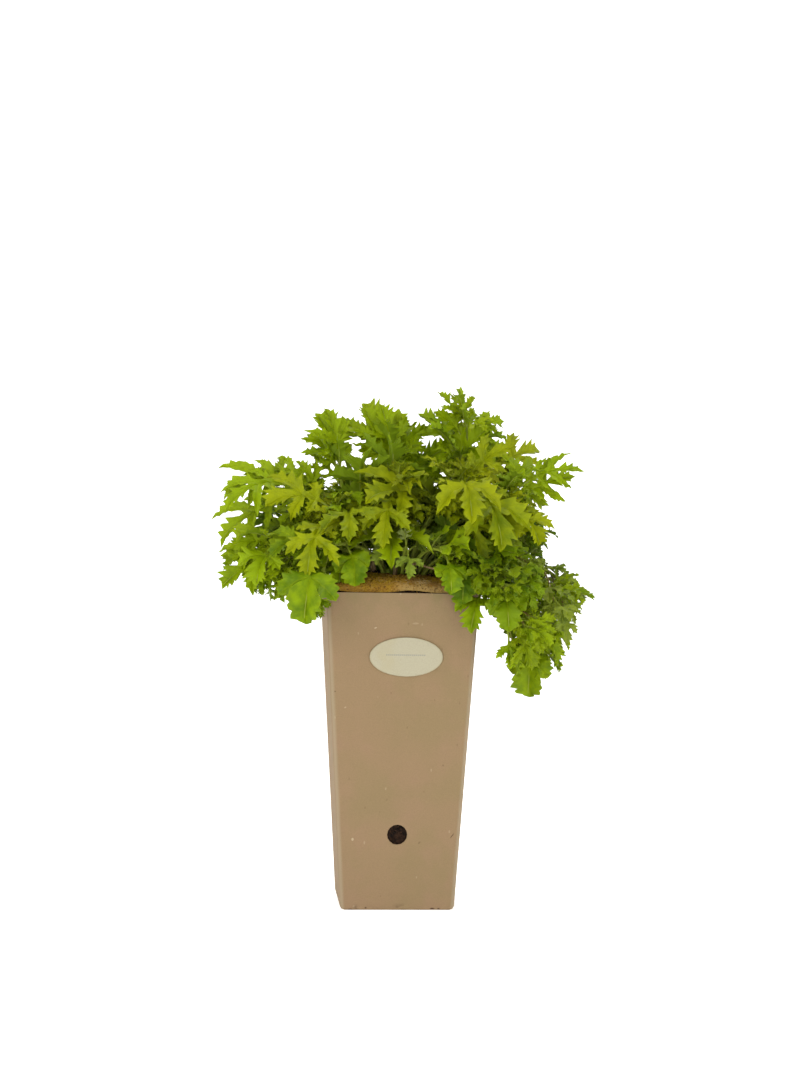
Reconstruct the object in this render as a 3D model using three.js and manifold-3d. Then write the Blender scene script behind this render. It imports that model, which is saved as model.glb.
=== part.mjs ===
// Potted white mugwort: a tall tapered card pot filled with compost, a fibre mulch mat over it,
// an oval label on the front, and leafy stems that rise, arch and trail over the rim.
// Units are millimetres and +Z is up. The origin is the middle of the pot's base, and -Y is the front.
import * as THREE from 'three';
import { mergeVertices } from 'three/addons/utils/BufferGeometryUtils.js';
import Module from 'manifold-3d';

const wasm = await Module();
wasm.setup();
const { Vector2, Vector3, MathUtils } = THREE;

// Driving dimensions of the pot
const potHeight = 200;
const rimWidth = 96.5;
const footWidth = 72;
const wall = 1.6;
const baseThickness = 2.2;
const rimCorner = 4.3;
const footCorner = 3.4;
const footRound = 2.4;
const cornerSteps = 4;
const ventRadius = 6.3;
const ventHeight = 48;
const drainRadius = 3.5;
const drainOffset = 19;
const roundSides = 16;

// The label on the front wall
const labelWidth = 46;
const labelHeight = 24.6;
const labelThickness = 0.5;
const labelCentre = { x: 2.5, z: 160 };

// Mulch mat, compost and the space kept between neighbours
const touchGap = 0.35;
const matThickness = 3;
const matHalf = rimWidth / 2 - 1.2;
const matHole = 25.5;
const matDome = 8.5;
const domePower = 2.4;
const domeSlant = 0.3;
const rimLift = 0.1;
const matSides = 30;
const matShares = [0, 0.3, 1];
const liftedEdges = [
  { x: 9, y: -47, reach: 12, lift: 1.7 },
  { x: -28, y: 47, reach: 16, lift: 1.2 },
  { x: 47, y: 20, reach: 15, lift: 1.1 },
];
const soilRings = [0.94, 0.62, 0.28];
const soilSides = 24;
const soilDrop = 1.5;
const crumbDepth = 1.3;
const soilTopBelowRim = 3;
const soilGap = 0.6;
const squareness = 14;

// Stems and leaves
const stemBase = 1.6;
const stemTip = 1.0;
const stemSides = 5;
const stemSteps = 7;
const rootShare = 0.15;
const rootDepth = 13;
const rootClearance = 0.5;
const leafThickness = 0.9;
const stalkHalf = 0.95;
const stalkBaseHalf = 0.7;
const simplifyBy = 0.05;
const clearOfOthers = 0.6;
const clearOfOwn = 0.25;

// How the leaves stand on a stem, in degrees: the turn from one to the next, how far each opens
// from the stem, and how far its face is rolled outwards
const goldenAngle = 137.5;
const lowestOpens = 68;
const upperOpens = 40;
const lastOpens = 12;
const outwardRoll = 32;
const steepRoll = 38;
const steepestFall = -88;
const backHalf = 12;
const lastLeafAt = 0.985;
const leafSeeds = 100000;

// The most that a draw changes in a leaf, from one side of its middle value to the other
const spreadOf = {
  turn: 16, open: 10, roll: 30, length: 0.16, droop: 0.4, fold: 0.16,
  lobeAngle: 10, lobe: 0.24, tip: 0.2,
};

// How a leaf bends: the stalk's share of its droop, its halves' fold and curl, and the edge's waves
const stalkShare = 0.2;
const leastDroop = 0.05;
const middleFold = 0.22;
const halfCurl = 0.55;
const edgeWave = 3;
const waveTurn = 0.22;
const lobeCurl = MathUtils.degToRad(24);

const card = new THREE.MeshStandardMaterial({ color: 0xa68b67, roughness: 0.85, metalness: 0 });
const paper = new THREE.MeshStandardMaterial({ color: 0xd8cfae, roughness: 0.6, metalness: 0 });
const fibre = new THREE.MeshStandardMaterial({ color: 0x7d6430, roughness: 0.95, metalness: 0 });
const compost = new THREE.MeshStandardMaterial({ color: 0x2e2118, roughness: 1, metalness: 0 });
const dryStem = new THREE.MeshStandardMaterial({ color: 0x8a7355, roughness: 0.9, metalness: 0 });
const leafGreens = {
  bright: new THREE.MeshStandardMaterial({ color: 0x93a615, roughness: 0.6, metalness: 0 }),
  fresh: new THREE.MeshStandardMaterial({ color: 0x6f8a10, roughness: 0.6, metalness: 0 }),
  deep: new THREE.MeshStandardMaterial({ color: 0x4c6a0c, roughness: 0.65, metalness: 0 }),
  grey: new THREE.MeshStandardMaterial({ color: 0x7f8c4e, roughness: 0.7, metalness: 0 }),
};

// A small random source that gives the same draws on every run
function randomFrom(seed) {
  let state = seed * 7919 + 17;
  return () => {
    state = (state * 16807) % 2147483647;
    return state / 2147483647;
  };
}

// A draw about zero, as wide as the spread
const jitter = (random, spread) => spread * (random() - 0.5);

// A closed three.js geometry as a manifold-3d solid
function solidOf(geometry) {
  const loose = geometry.index ? geometry.toNonIndexed() : geometry.clone();
  const bare = new THREE.BufferGeometry().setAttribute('position', loose.getAttribute('position'));
  const merged = mergeVertices(bare, 1e-4);
  return new wasm.Manifold(
    new wasm.Mesh({
      numProp: 3,
      vertProperties: merged.attributes.position.array,
      triVerts: new Uint32Array(merged.index.array),
    }),
  );
}

// A solid back as a named mesh, with its geometry measured from the place given
function meshOf(name, solid, material, place = new Vector3()) {
  const { vertProperties, triVerts, numProp } = solid.getMesh();
  const count = vertProperties.length / numProp;
  const position = new Float32Array(count * 3);
  for (let i = 0; i < count; i++) {
    position.set(vertProperties.subarray(i * numProp, i * numProp + 3), i * 3);
  }
  const geometry = new THREE.BufferGeometry();
  geometry.setAttribute('position', new THREE.BufferAttribute(position, 3));
  geometry.setIndex(new THREE.BufferAttribute(new Uint32Array(triVerts), 1));
  geometry.translate(-place.x, -place.y, -place.z);
  geometry.computeVertexNormals();
  const mesh = new THREE.Mesh(geometry, material);
  mesh.name = name;
  mesh.position.copy(place);
  return mesh;
}

// A geometry from points and triangles
function indexed(points, triangles) {
  const geometry = new THREE.BufferGeometry().setFromPoints(points);
  geometry.setIndex(triangles);
  return geometry;
}

// A closed skin through rings of equal count that run anticlockwise, with a flat cap at each end
function loft(rings) {
  const n = rings[0].length;
  const points = rings.flat();
  const triangles = [];
  for (let r = 0; r + 1 < rings.length; r++) {
    for (let i = 0; i < n; i++) {
      const a = r * n + i;
      const b = r * n + ((i + 1) % n);
      triangles.push(a, b, b + n, a, b + n, a + n);
    }
  }
  const last = (rings.length - 1) * n;
  for (let i = 1; i + 1 < n; i++) {
    triangles.push(0, i + 1, i, last, last + i, last + i + 1);
  }
  return indexed(points, triangles);
}

// A square ring with round corners
function roundedSquare(half, corner, z) {
  const ring = [];
  for (let quarter = 0; quarter < 4; quarter++) {
    const middle = (quarter + 0.5) * (Math.PI / 2);
    const cx = Math.sign(Math.cos(middle)) * (half - corner);
    const cy = Math.sign(Math.sin(middle)) * (half - corner);
    for (let step = 0; step <= cornerSteps; step++) {
      const angle = (quarter + step / cornerSteps) * (Math.PI / 2);
      ring.push(new Vector3(cx + corner * Math.cos(angle), cy + corner * Math.sin(angle), z));
    }
  }
  return ring;
}

// How far a square with soft corners reaches in a direction
function squareReach(half, angle) {
  const c = Math.abs(Math.cos(angle)) ** squareness;
  const s = Math.abs(Math.sin(angle)) ** squareness;
  return half / (c + s) ** (1 / squareness);
}

function potHalf(z) {
  return MathUtils.lerp(footWidth, rimWidth, z / potHeight) / 2;
}

function potCorner(z) {
  return MathUtils.lerp(footCorner, rimCorner, z / potHeight);
}

function potRing(z, inset) {
  return roundedSquare(potHalf(z) - inset, Math.max(potCorner(z) - inset, 0.8), z);
}

// The wall leans outwards by this angle
const wallLean = Math.atan2((rimWidth - footWidth) / 2, potHeight);

function cylinder(radius, length, centre, sides = roundSides) {
  const solid = solidOf(new THREE.CylinderGeometry(radius, radius, length, sides));
  return solid.translate([centre.x, centre.y, centre.z]);
}

function makePot() {
  const outer = solidOf(
    loft([
      potRing(0, footRound),
      potRing(footRound * 0.3, footRound * 0.3),
      potRing(footRound, 0),
      potRing(potHeight, 0),
    ]),
  );
  const cavity = solidOf(loft([potRing(baseThickness, wall), potRing(potHeight + wall, wall)]));
  const vent = cylinder(ventRadius, footWidth, { x: -1, y: -footWidth / 2, z: ventHeight });
  let pot = outer.subtract(cavity).subtract(vent);
  for (const [sx, sy] of [[1, 1], [1, -1], [-1, 1], [-1, -1]]) {
    const drain = cylinder(drainRadius, 4 * baseThickness, { x: 0, y: 0, z: 0 }, 12)
      .rotate([90, 0, 0])
      .translate([sx * drainOffset, sy * drainOffset, 0]);
    pot = pot.subtract(drain);
  }
  return pot;
}

function makeLabel() {
  const outline = new THREE.Shape();
  outline.absellipse(0, 0, labelWidth / 2, labelHeight / 2, 0, Math.PI * 2);
  const plate = new THREE.ExtrudeGeometry(outline, {
    depth: labelThickness,
    bevelEnabled: false,
    curveSegments: 14,
  });
  // The plate stands up facing the front, leans with the wall and lies just off it
  plate.rotateX(Math.PI / 2 + wallLean);
  const front = -potHalf(labelCentre.z) - touchGap / Math.cos(wallLean);
  plate.translate(labelCentre.x, front, labelCentre.z);
  return solidOf(plate);
}

// Height of the middle of the mulch mat: a dome, higher left of centre, whose edge lies on the rim
// but for three places where it has lifted
function matHeight(x, y) {
  const across = 1 - Math.min(1, Math.abs(x / matHalf)) ** domePower;
  const along = 1 - Math.min(1, Math.abs(y / matHalf)) ** domePower;
  const dome = matDome * Math.sqrt(across * along) * (1 - domeSlant * (x / matHalf));
  const lifted = liftedEdges.reduce(
    (sum, edge) => sum + edge.lift * Math.exp(-((x - edge.x) ** 2 + (y - edge.y) ** 2) / edge.reach ** 2),
    rimLift,
  );
  return potHeight + touchGap + matThickness / 2 + lifted + dome;
}

// The mat is a ring: its section runs from the rim in to the ragged hole round the stems
function makeMat() {
  const sections = [];
  for (let i = 0; i < matSides; i++) {
    const angle = (i / matSides) * Math.PI * 2;
    const outer = squareReach(matHalf, angle);
    const inner = matHole * (1 + 0.07 * Math.sin(3 * angle + 0.6) + 0.05 * Math.sin(7 * angle));
    const at = (share, side) => {
      const reach = MathUtils.lerp(outer, inner, share);
      const x = reach * Math.cos(angle);
      const y = reach * Math.sin(angle);
      return new Vector3(x, y, matHeight(x, y) + (side * matThickness) / 2);
    };
    sections.push([
      ...matShares.map((share) => at(share, -1)),
      ...[...matShares].reverse().map((share) => at(share, 1)),
    ]);
  }
  const m = sections[0].length;
  const triangles = [];
  for (let i = 0; i < matSides; i++) {
    for (let j = 0; j < m; j++) {
      const a = i * m + j;
      const b = i * m + ((j + 1) % m);
      const c = ((i + 1) % matSides) * m + ((j + 1) % m);
      const d = ((i + 1) % matSides) * m + j;
      triangles.push(a, b, c, a, c, d);
    }
  }
  return solidOf(indexed(sections.flat(), triangles));
}

// Top of the compost: just under the mat, with a crumbly mound inside the mat's hole
function soilHeight(x, y) {
  const under = matHeight(x, y) - matThickness / 2 - soilDrop;
  const crumbs = 0.5 + 0.5 * Math.sin(x * 0.71 + 2) * Math.cos(y * 0.63 - 1);
  return under - crumbDepth * crumbs;
}

function makeSoil() {
  const reach = (z) => potHalf(z) - wall - soilGap;
  const ring = (scale, height) =>
    Array.from({ length: soilSides }, (_, i) => {
      const angle = (i / soilSides) * Math.PI * 2;
      const flat = height === undefined;
      const r = squareReach(reach(flat ? potHeight : height), angle) * scale;
      const x = r * Math.cos(angle);
      const y = r * Math.sin(angle);
      return new Vector3(x, y, flat ? soilHeight(x, y) : height);
    });
  const rings = [ring(1, baseThickness + touchGap), ring(1, potHeight - soilTopBelowRim)];
  return solidOf(loft([...rings, ...soilRings.map((scale) => ring(scale))]));
}

// Leaf kinds, as shares of the whole leaf's length. A lobe stands on the rib, at an angle in
// degrees from it, and its outline starts at a neck on the winged rib. Its near edge faces the
// stalk. Edge points give a share along the lobe and a distance from its axis in half widths.
const toothedNear = [[0.46, 1.1], [0.57, 0.64]];
const bluntNear = [[0.42, 1.12], [0.53, 0.8]];
const roundedFar = [[0.62, -0.7]];
const leafKinds = {
  cut: {
    stalk: 0.27,
    lobes: [
      {
        at: 0.34, neck: 0.3, wing: 0.014, angle: 80, length: 0.28, width: 0.075,
        near: toothedNear, far: [],
      },
      {
        at: 0.5, neck: 0.45, wing: 0.022, angle: 62, length: 0.44, width: 0.1,
        near: toothedNear, far: roundedFar,
      },
    ],
    tip: { at: 0.6, wing: 0.022, width: 0.135, edge: [[0.4, 1], [0.54, 0.52]] },
  },
  three: {
    stalk: 0.34,
    lobes: [
      {
        at: 0.45, neck: 0.4, wing: 0.018, angle: 66, length: 0.42, width: 0.115,
        near: toothedNear, far: roundedFar,
      },
    ],
    tip: { at: 0.55, wing: 0.026, width: 0.14, edge: [[0.4, 1], [0.54, 0.52]] },
  },
  fan: {
    stalk: 0.34,
    lobes: [
      {
        at: 0.45, neck: 0.365, wing: 0.022, angle: 78, length: 0.42, width: 0.15,
        near: bluntNear, far: [[0.7, -0.66]],
      },
    ],
    tip: { at: 0.54, wing: 0.034, width: 0.18, edge: [[0.46, 1], [0.78, 0.68]] },
  },
  sprig: {
    stalk: 0.3,
    lobes: [
      {
        at: 0.46, neck: 0.42, wing: 0.03, angle: 58, length: 0.34, width: 0.07,
        near: [[0.5, 1]], far: [],
      },
    ],
    tip: { at: 0.55, wing: 0.03, width: 0.095, edge: [[0.4, 1]] },
  },
};

// One half of a leaf's cut outline, from the stalk's foot to the tip, as flat points: x runs
// along the rib and y away from it. The draws make each half its own.
function halfOutline(kind, length, random) {
  const points = [new Vector2(0, stalkBaseHalf)];
  for (const lobe of kind.lobes) {
    const angle = MathUtils.degToRad(lobe.angle + jitter(random, spreadOf.lobeAngle));
    const reach = length * lobe.length * (1 + jitter(random, spreadOf.lobe));
    const half = length * lobe.width;
    const edgePoint = ([share, across]) => {
      const middle = angle - 0.5 * lobeCurl * share;
      const end = angle - lobeCurl * share;
      return new Vector2(
        length * lobe.at + share * reach * Math.cos(middle) - across * half * Math.sin(end),
        share * reach * Math.sin(middle) + across * half * Math.cos(end),
      );
    };
    points.push(new Vector2(length * lobe.neck, Math.max(length * lobe.wing, stalkHalf)));
    points.push(...[...lobe.near, [1, 0], ...lobe.far].map(edgePoint));
  }
  const { at, wing, width, edge } = kind.tip;
  const spread = length * width * (1 + jitter(random, spreadOf.tip));
  const along = (share) => length * MathUtils.lerp(at, 1, share);
  points.push(new Vector2(length * at, Math.max(length * wing, stalkHalf)));
  points.push(...edge.map(([share, across]) => new Vector2(along(share), across * spread)));
  points.push(new Vector2(length, 0));
  return points;
}

const tipRibShare = 0.42;

// Points along the rib that the two halves share, between the stalk's end and the tip
function ribPoints(kind, length) {
  const shares = [...kind.lobes.map((lobe) => lobe.at), MathUtils.lerp(kind.tip.at, 1, tipRibShare)];
  return shares.map((share) => new Vector2(share * length, 0));
}

// Forward and upward travel along an arc that starts at an elevation and bends down steadily
function arcTravel(elevation, bend, distance) {
  const end = elevation - bend * distance;
  return {
    forward: (Math.sin(elevation) - Math.sin(end)) / bend,
    up: (Math.cos(end) - Math.cos(elevation)) / bend,
    end,
  };
}

// Where a flat leaf point lies once the leaf is set on its stem: the stalk bends a little, the
// blade droops, its halves fold up from the rib and curl down again, and its edge waves.
function leafPoint(leaf, flat, lift) {
  const alongStalk = Math.min(flat.x, leaf.stalk);
  const first = arcTravel(leaf.elevation, leaf.stalkBend, alongStalk);
  const second = arcTravel(first.end, leaf.bladeBend, Math.max(flat.x - leaf.stalk, 0));
  const forward = first.forward + second.forward;
  const heading = new Vector3(Math.cos(leaf.heading), Math.sin(leaf.heading), 0);
  const side = new Vector3(-heading.y, heading.x, 0);
  const top = new Vector3(0, 0, Math.cos(second.end)).addScaledVector(heading, -Math.sin(second.end));
  const turn = leaf.roll * Math.min(1, flat.x / leaf.stalk);
  const across = side.clone().multiplyScalar(Math.cos(turn)).addScaledVector(top, Math.sin(turn));
  const out = top.clone().multiplyScalar(Math.cos(turn)).addScaledVector(side, -Math.sin(turn));
  const far = Math.abs(flat.y);
  const wave = leaf.wave * (far / leaf.length) * Math.sin(flat.x * waveTurn + leaf.phase);
  const raise = lift + leaf.fold * far - leaf.curl * far * far + wave;
  return leaf.foot
    .clone()
    .addScaledVector(heading, forward)
    .add(new Vector3(0, 0, first.up + second.up))
    .addScaledVector(across, flat.y)
    .addScaledVector(out, raise);
}

// A leaf as one thin closed blade, cut to the rib between its lobes and split alike on both faces
function bladeSolid(leaf) {
  const { rib } = leaf;
  const [right, left] = leaf.halves;
  const flat = [...right, ...left.slice(0, -1).map((p) => new Vector2(p.x, -p.y)), ...rib];
  const tip = right.length - 1;
  const rightEdge = right.map((_, i) => i);
  const leftEdge = left.slice(0, -1).map((_, i) => right.length + i);
  const ribEdge = rib.map((_, i) => right.length + left.length - 1 + i);
  // Each half runs up its edge to the tip and back down the rib. The stalk belongs to the right half.
  const loops = [
    [leftEdge[0], ...rightEdge, ...[...ribEdge].reverse(), leftEdge[1]],
    [...leftEdge.slice(1), tip, ...[...ribEdge].reverse()],
  ];
  const faces = [];
  for (const loop of loops) {
    const contour = loop.map((i) => flat[i]);
    for (const face of THREE.ShapeUtils.triangulateShape(contour, [])) {
      const [a, b, c] = face.map((i) => loop[i]);
      const area = flat[b].clone().sub(flat[a]).cross(flat[c].clone().sub(flat[a]));
      faces.push(area > 0 ? [a, b, c] : [a, c, b]);
    }
  }
  const n = flat.length;
  const points = [
    ...flat.map((p) => leafPoint(leaf, p, leafThickness / 2)),
    ...flat.map((p) => leafPoint(leaf, p, -leafThickness / 2)),
  ];
  const triangles = faces.flatMap(([a, b, c]) => [a, b, c, a + n, c + n, b + n]);
  const border = [...leftEdge, ...[...rightEdge].reverse()];
  for (let i = 0; i < border.length; i++) {
    const a = border[i];
    const b = border[(i + 1) % border.length];
    triangles.push(a, a + n, b + n, a, b + n, b);
  }
  return solidOf(indexed(points, triangles));
}

// Leafy stems. Root is the place in the compost and tip the end of the stem. Rise is how far it
// first heads straight up, and bow is how far the curve stands above its tip on the way there.
// Then the leaves: how many, how long the lowest is, the topmost as a share of that, how far they
// droop in degrees, where the lowest stands and its turn about the stem, their kind and green.
const stems = [
  {
    name: 'top_right', root: [6, 3], tip: [44, 2, 306], rise: 60, lean: 0.95, bow: -44,
    leaves: 6, size: 60, top: 0.6, droop: 45, from: 0.56, turn: 80, swing: 0,
    kind: 'cut', green: 'fresh',
  },
  {
    name: 'top_left', root: [-8, 1.5], tip: [-38, -2, 272], rise: 50, lean: 0.8, bow: -30,
    leaves: 6, size: 68, top: 0.85, droop: 40, from: 0.5, turn: 250, swing: -10,
    kind: 'cut', green: 'fresh',
  },
  {
    name: 'top_centre', root: [-2, 3.5], tip: [-6, 2, 276], rise: 50, lean: 0.8, bow: -32,
    leaves: 6, size: 68, top: 0.85, droop: 38, from: 0.5, turn: 20, swing: 0,
    kind: 'cut', green: 'fresh',
  },
  {
    name: 'top_mid', root: [-4, -4.5], tip: [-20, -16, 268], rise: 50, lean: 0.75, bow: -20,
    leaves: 4, size: 62, top: 0.9, droop: 60, from: 0.6, turn: 20, swing: 40,
    kind: 'cut', green: 'bright',
  },
  {
    name: 'upper_right', root: [11.5, 2.5], tip: [58, 2, 276], rise: 50, lean: 0.8, bow: -30,
    leaves: 5, size: 68, top: 0.85, droop: 45, from: 0.5, turn: 150, swing: 0,
    kind: 'cut', green: 'bright',
  },
  {
    name: 'reach_right', root: [12, -3], tip: [72, -12, 264], rise: 45, lean: 0.7, bow: -26,
    leaves: 4, size: 64, top: 0.85, droop: 55, from: 0.55, turn: 250, swing: -10,
    kind: 'cut', green: 'fresh',
  },
  {
    name: 'front_centre', root: [-1, -10.5], tip: [-3, -28, 268], rise: 45, lean: 0.7, bow: 0,
    leaves: 4, size: 64, top: 0.95, droop: 90, from: 0.5, turn: 80, swing: 15,
    kind: 'cut', green: 'bright',
  },
  {
    name: 'front_right', root: [5, -11], tip: [40, -32, 268], rise: 45, lean: 0.7, bow: 0,
    leaves: 5, size: 68, top: 1.05, droop: 100, from: 0.5, turn: 120, swing: -40,
    kind: 'cut', green: 'bright',
  },
  {
    name: 'right_front', root: [10, -8.5], tip: [66, -28, 254], rise: 45, lean: 0.7, bow: 0,
    leaves: 3, size: 60, top: 1, droop: 85, from: 0.55, turn: 40, swing: -35,
    kind: 'cut', green: 'bright',
  },
  {
    name: 'reach_left', root: [-13, -0.5], tip: [-60, -10, 262], rise: 45, lean: 0.7, bow: -12,
    leaves: 5, size: 64, top: 0.95, droop: 90, from: 0.45, turn: 100, swing: 5,
    kind: 'cut', green: 'fresh',
  },
  {
    name: 'left_front', root: [-8, -8], tip: [-46, -34, 248], rise: 45, lean: 0.7, bow: 2,
    leaves: 5, size: 60, top: 1, droop: 90, from: 0.45, turn: 70, swing: 30,
    kind: 'cut', green: 'bright',
  },
  {
    name: 'left_low', root: [-15.5, -6.5], tip: [-76, -24, 226], rise: 40, lean: 0.7, bow: 6,
    leaves: 4, size: 50, top: 1, droop: 85, from: 0.45, turn: 0, swing: 30,
    kind: 'three', green: 'fresh',
  },
  {
    name: 'front_left', root: [-8, -14], tip: [-52, -46, 226], rise: 38, lean: 0.7, bow: 8,
    leaves: 2, size: 50, top: 1.1, droop: 75, from: 0.68, turn: 330, swing: 45,
    kind: 'fan', green: 'fresh',
  },
  {
    name: 'front_small', root: [1, -17], tip: [2, -42, 228], rise: 30, lean: 0.7, bow: 2,
    leaves: 3, size: 30, top: 1, droop: 80, from: 0.5, turn: 10, swing: 0,
    kind: 'three', green: 'grey',
  },
  {
    name: 'front_low', root: [6, -16.5], tip: [26, -50, 224], rise: 36, lean: 0.7, bow: 8,
    leaves: 2, size: 42, top: 0.95, droop: 70, from: 0.7, turn: 330, swing: -20,
    kind: 'fan', green: 'fresh',
  },
  {
    name: 'over_corner', root: [11.8, -12.2], tip: [62, -50, 206], rise: 40, lean: 0.7, bow: 24,
    leaves: 4, size: 44, top: 0.95, droop: 60, from: 0.45, turn: 100, swing: -30,
    kind: 'fan', green: 'deep',
  },
  {
    name: 'trail_right', root: [15.3, -4.8], tip: [86, -30, 176], rise: 44, lean: 0.95, bow: 54,
    leaves: 5, size: 50, top: 0.95, droop: 35, from: 0.45, turn: 20, swing: -30,
    kind: 'fan', green: 'fresh',
  },
  {
    name: 'trail_low', root: [13.8, -8.6], tip: [66, -48, 178], rise: 42, lean: 0.95, bow: 44,
    leaves: 4, size: 46, top: 1, droop: 35, from: 0.55, turn: 60, swing: -20,
    kind: 'three', green: 'fresh',
  },
  {
    name: 'trail_grey', root: [17, -1], tip: [104, -14, 206], rise: 42, lean: 0.8, bow: 26,
    leaves: 5, size: 40, top: 0.9, droop: 50, from: 0.4, turn: 70, swing: -20,
    kind: 'three', green: 'grey',
  },
  {
    name: 'sprig_right', root: [17, 3.5], tip: [94, 12, 240], rise: 42, lean: 0.7, bow: 4,
    leaves: 4, size: 30, top: 0.8, droop: 40, from: 0.45, turn: 0, swing: 0,
    kind: 'sprig', green: 'deep',
  },
  {
    name: 'back_right', root: [8, 9], tip: [44, 38, 264], rise: 45, lean: 0.7, bow: -8,
    leaves: 4, size: 64, top: 0.9, droop: 75, from: 0.5, turn: 210, swing: 20,
    kind: 'cut', green: 'fresh',
  },
  {
    name: 'back', root: [0.5, 11], tip: [-2, 44, 266], rise: 45, lean: 0.7, bow: -6,
    leaves: 4, size: 64, top: 0.9, droop: 85, from: 0.5, turn: 40, swing: 0,
    kind: 'cut', green: 'fresh',
  },
  {
    name: 'back_left', root: [-7, 9], tip: [-44, 36, 262], rise: 40, lean: 0.7, bow: -6,
    leaves: 4, size: 64, top: 0.9, droop: 80, from: 0.5, turn: 100, swing: -20,
    kind: 'cut', green: 'bright',
  },
  {
    name: 'back_low_left', root: [-12.5, 11.5], tip: [-58, 52, 228], rise: 40, lean: 0.7, bow: 8,
    leaves: 3, size: 48, top: 1, droop: 75, from: 0.5, turn: 0, swing: -30,
    kind: 'fan', green: 'deep',
  },
  {
    name: 'back_low', root: [2, 17], tip: [8, 58, 226], rise: 38, lean: 0.7, bow: 8,
    leaves: 3, size: 48, top: 1, droop: 75, from: 0.5, turn: 60, swing: 0,
    kind: 'fan', green: 'fresh',
  },
  {
    name: 'back_low_right', root: [13, 11.5], tip: [64, 50, 228], rise: 40, lean: 0.7, bow: 8,
    leaves: 3, size: 48, top: 1, droop: 75, from: 0.5, turn: 300, swing: 30,
    kind: 'three', green: 'deep',
  },
  {
    name: 'left_back', root: [-16.5, 4.5], tip: [-74, 22, 240], rise: 42, lean: 0.7, bow: 4,
    leaves: 4, size: 54, top: 0.9, droop: 80, from: 0.45, turn: 250, swing: -20,
    kind: 'cut', green: 'deep',
  },
];

// The old cut stems beside the new growth
const stubSides = 8;
const stubDepth = 6;
const stubs = [
  { root: [-15.5, -12], lean: [-0.15, -0.1], height: 13, radius: 1.8 },
  { root: [-3.5, -15], lean: [0.05, -0.1], height: 10, radius: 1.5 },
  { root: [-20, -2], lean: [-0.1, 0.05], height: 9, radius: 1.5 },
];

// The bends of a stem: its centre line is straight from one to the next
function stemLine(stem) {
  const [rx, ry] = stem.root;
  const [tx, ty, tz] = stem.tip;
  const foot = new Vector3(rx, ry, soilHeight(rx, ry) - rootDepth);
  const early = foot.clone().add(new Vector3(0, 0, stem.rise));
  const tip = new Vector3(tx, ty, tz);
  const late = foot.clone().lerp(tip, stem.lean).setZ(tz + stem.bow);
  const curve = new THREE.CubicBezierCurve3(foot, early, late, tip);
  const rise = Array.from({ length: stemSteps }, (_, i) => i / (stemSteps - 1));
  const shares = [0, ...rise.map((share) => MathUtils.lerp(rootShare, 1, share))];
  const heading = Math.atan2(ty - ry, tx - rx);
  return {
    curve,
    shares,
    centres: shares.map((share) => curve.getPoint(share)),
    side: new Vector3(-Math.sin(heading), Math.cos(heading), 0),
  };
}

// The place on the centre line at a share of the curve
function linePoint(line, share) {
  const k = Math.min(line.shares.findLastIndex((s) => s <= share), line.shares.length - 2);
  const between = (share - line.shares[k]) / (line.shares[k + 1] - line.shares[k]);
  return line.centres[k].clone().lerp(line.centres[k + 1], between);
}

// A tapered stem about its centre line, whose rings keep one horizontal side
function stemSolid(line, grow = 0, steps = stemSteps) {
  const rings = [];
  for (let step = 0; step <= steps; step++) {
    const share = line.shares[step];
    const centre = line.centres[step].clone();
    const tangent = line.curve.getTangent(share);
    const upper = new Vector3().crossVectors(tangent, line.side);
    const radius = MathUtils.lerp(stemBase, stemTip, share) + grow;
    if (grow && step === 0) {
      centre.addScaledVector(tangent, -grow);
    }
    rings.push(
      Array.from({ length: stemSides }, (_, i) => {
        const angle = (i / stemSides) * Math.PI * 2;
        return centre
          .clone()
          .addScaledVector(line.side, radius * Math.cos(angle))
          .addScaledVector(upper, radius * Math.sin(angle));
      }),
    );
  }
  return solidOf(loft(rings));
}

// Ways to set a leaf that would cross a neighbour: turned and lifted, the smallest change first
const turns = [0, 12, -12, 24, -24, 38, -38, 54, -54];
const lifts = [0, 12, -12, 26, -26, 42, -42];
const bends = turns
  .flatMap((turn) => lifts.map((lift) => ({ turn, lift, change: Math.abs(turn) + Math.abs(lift) })))
  .sort((a, b) => a.change - b.change);
const shrinks = [1, 0.8, 0.62];

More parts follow.
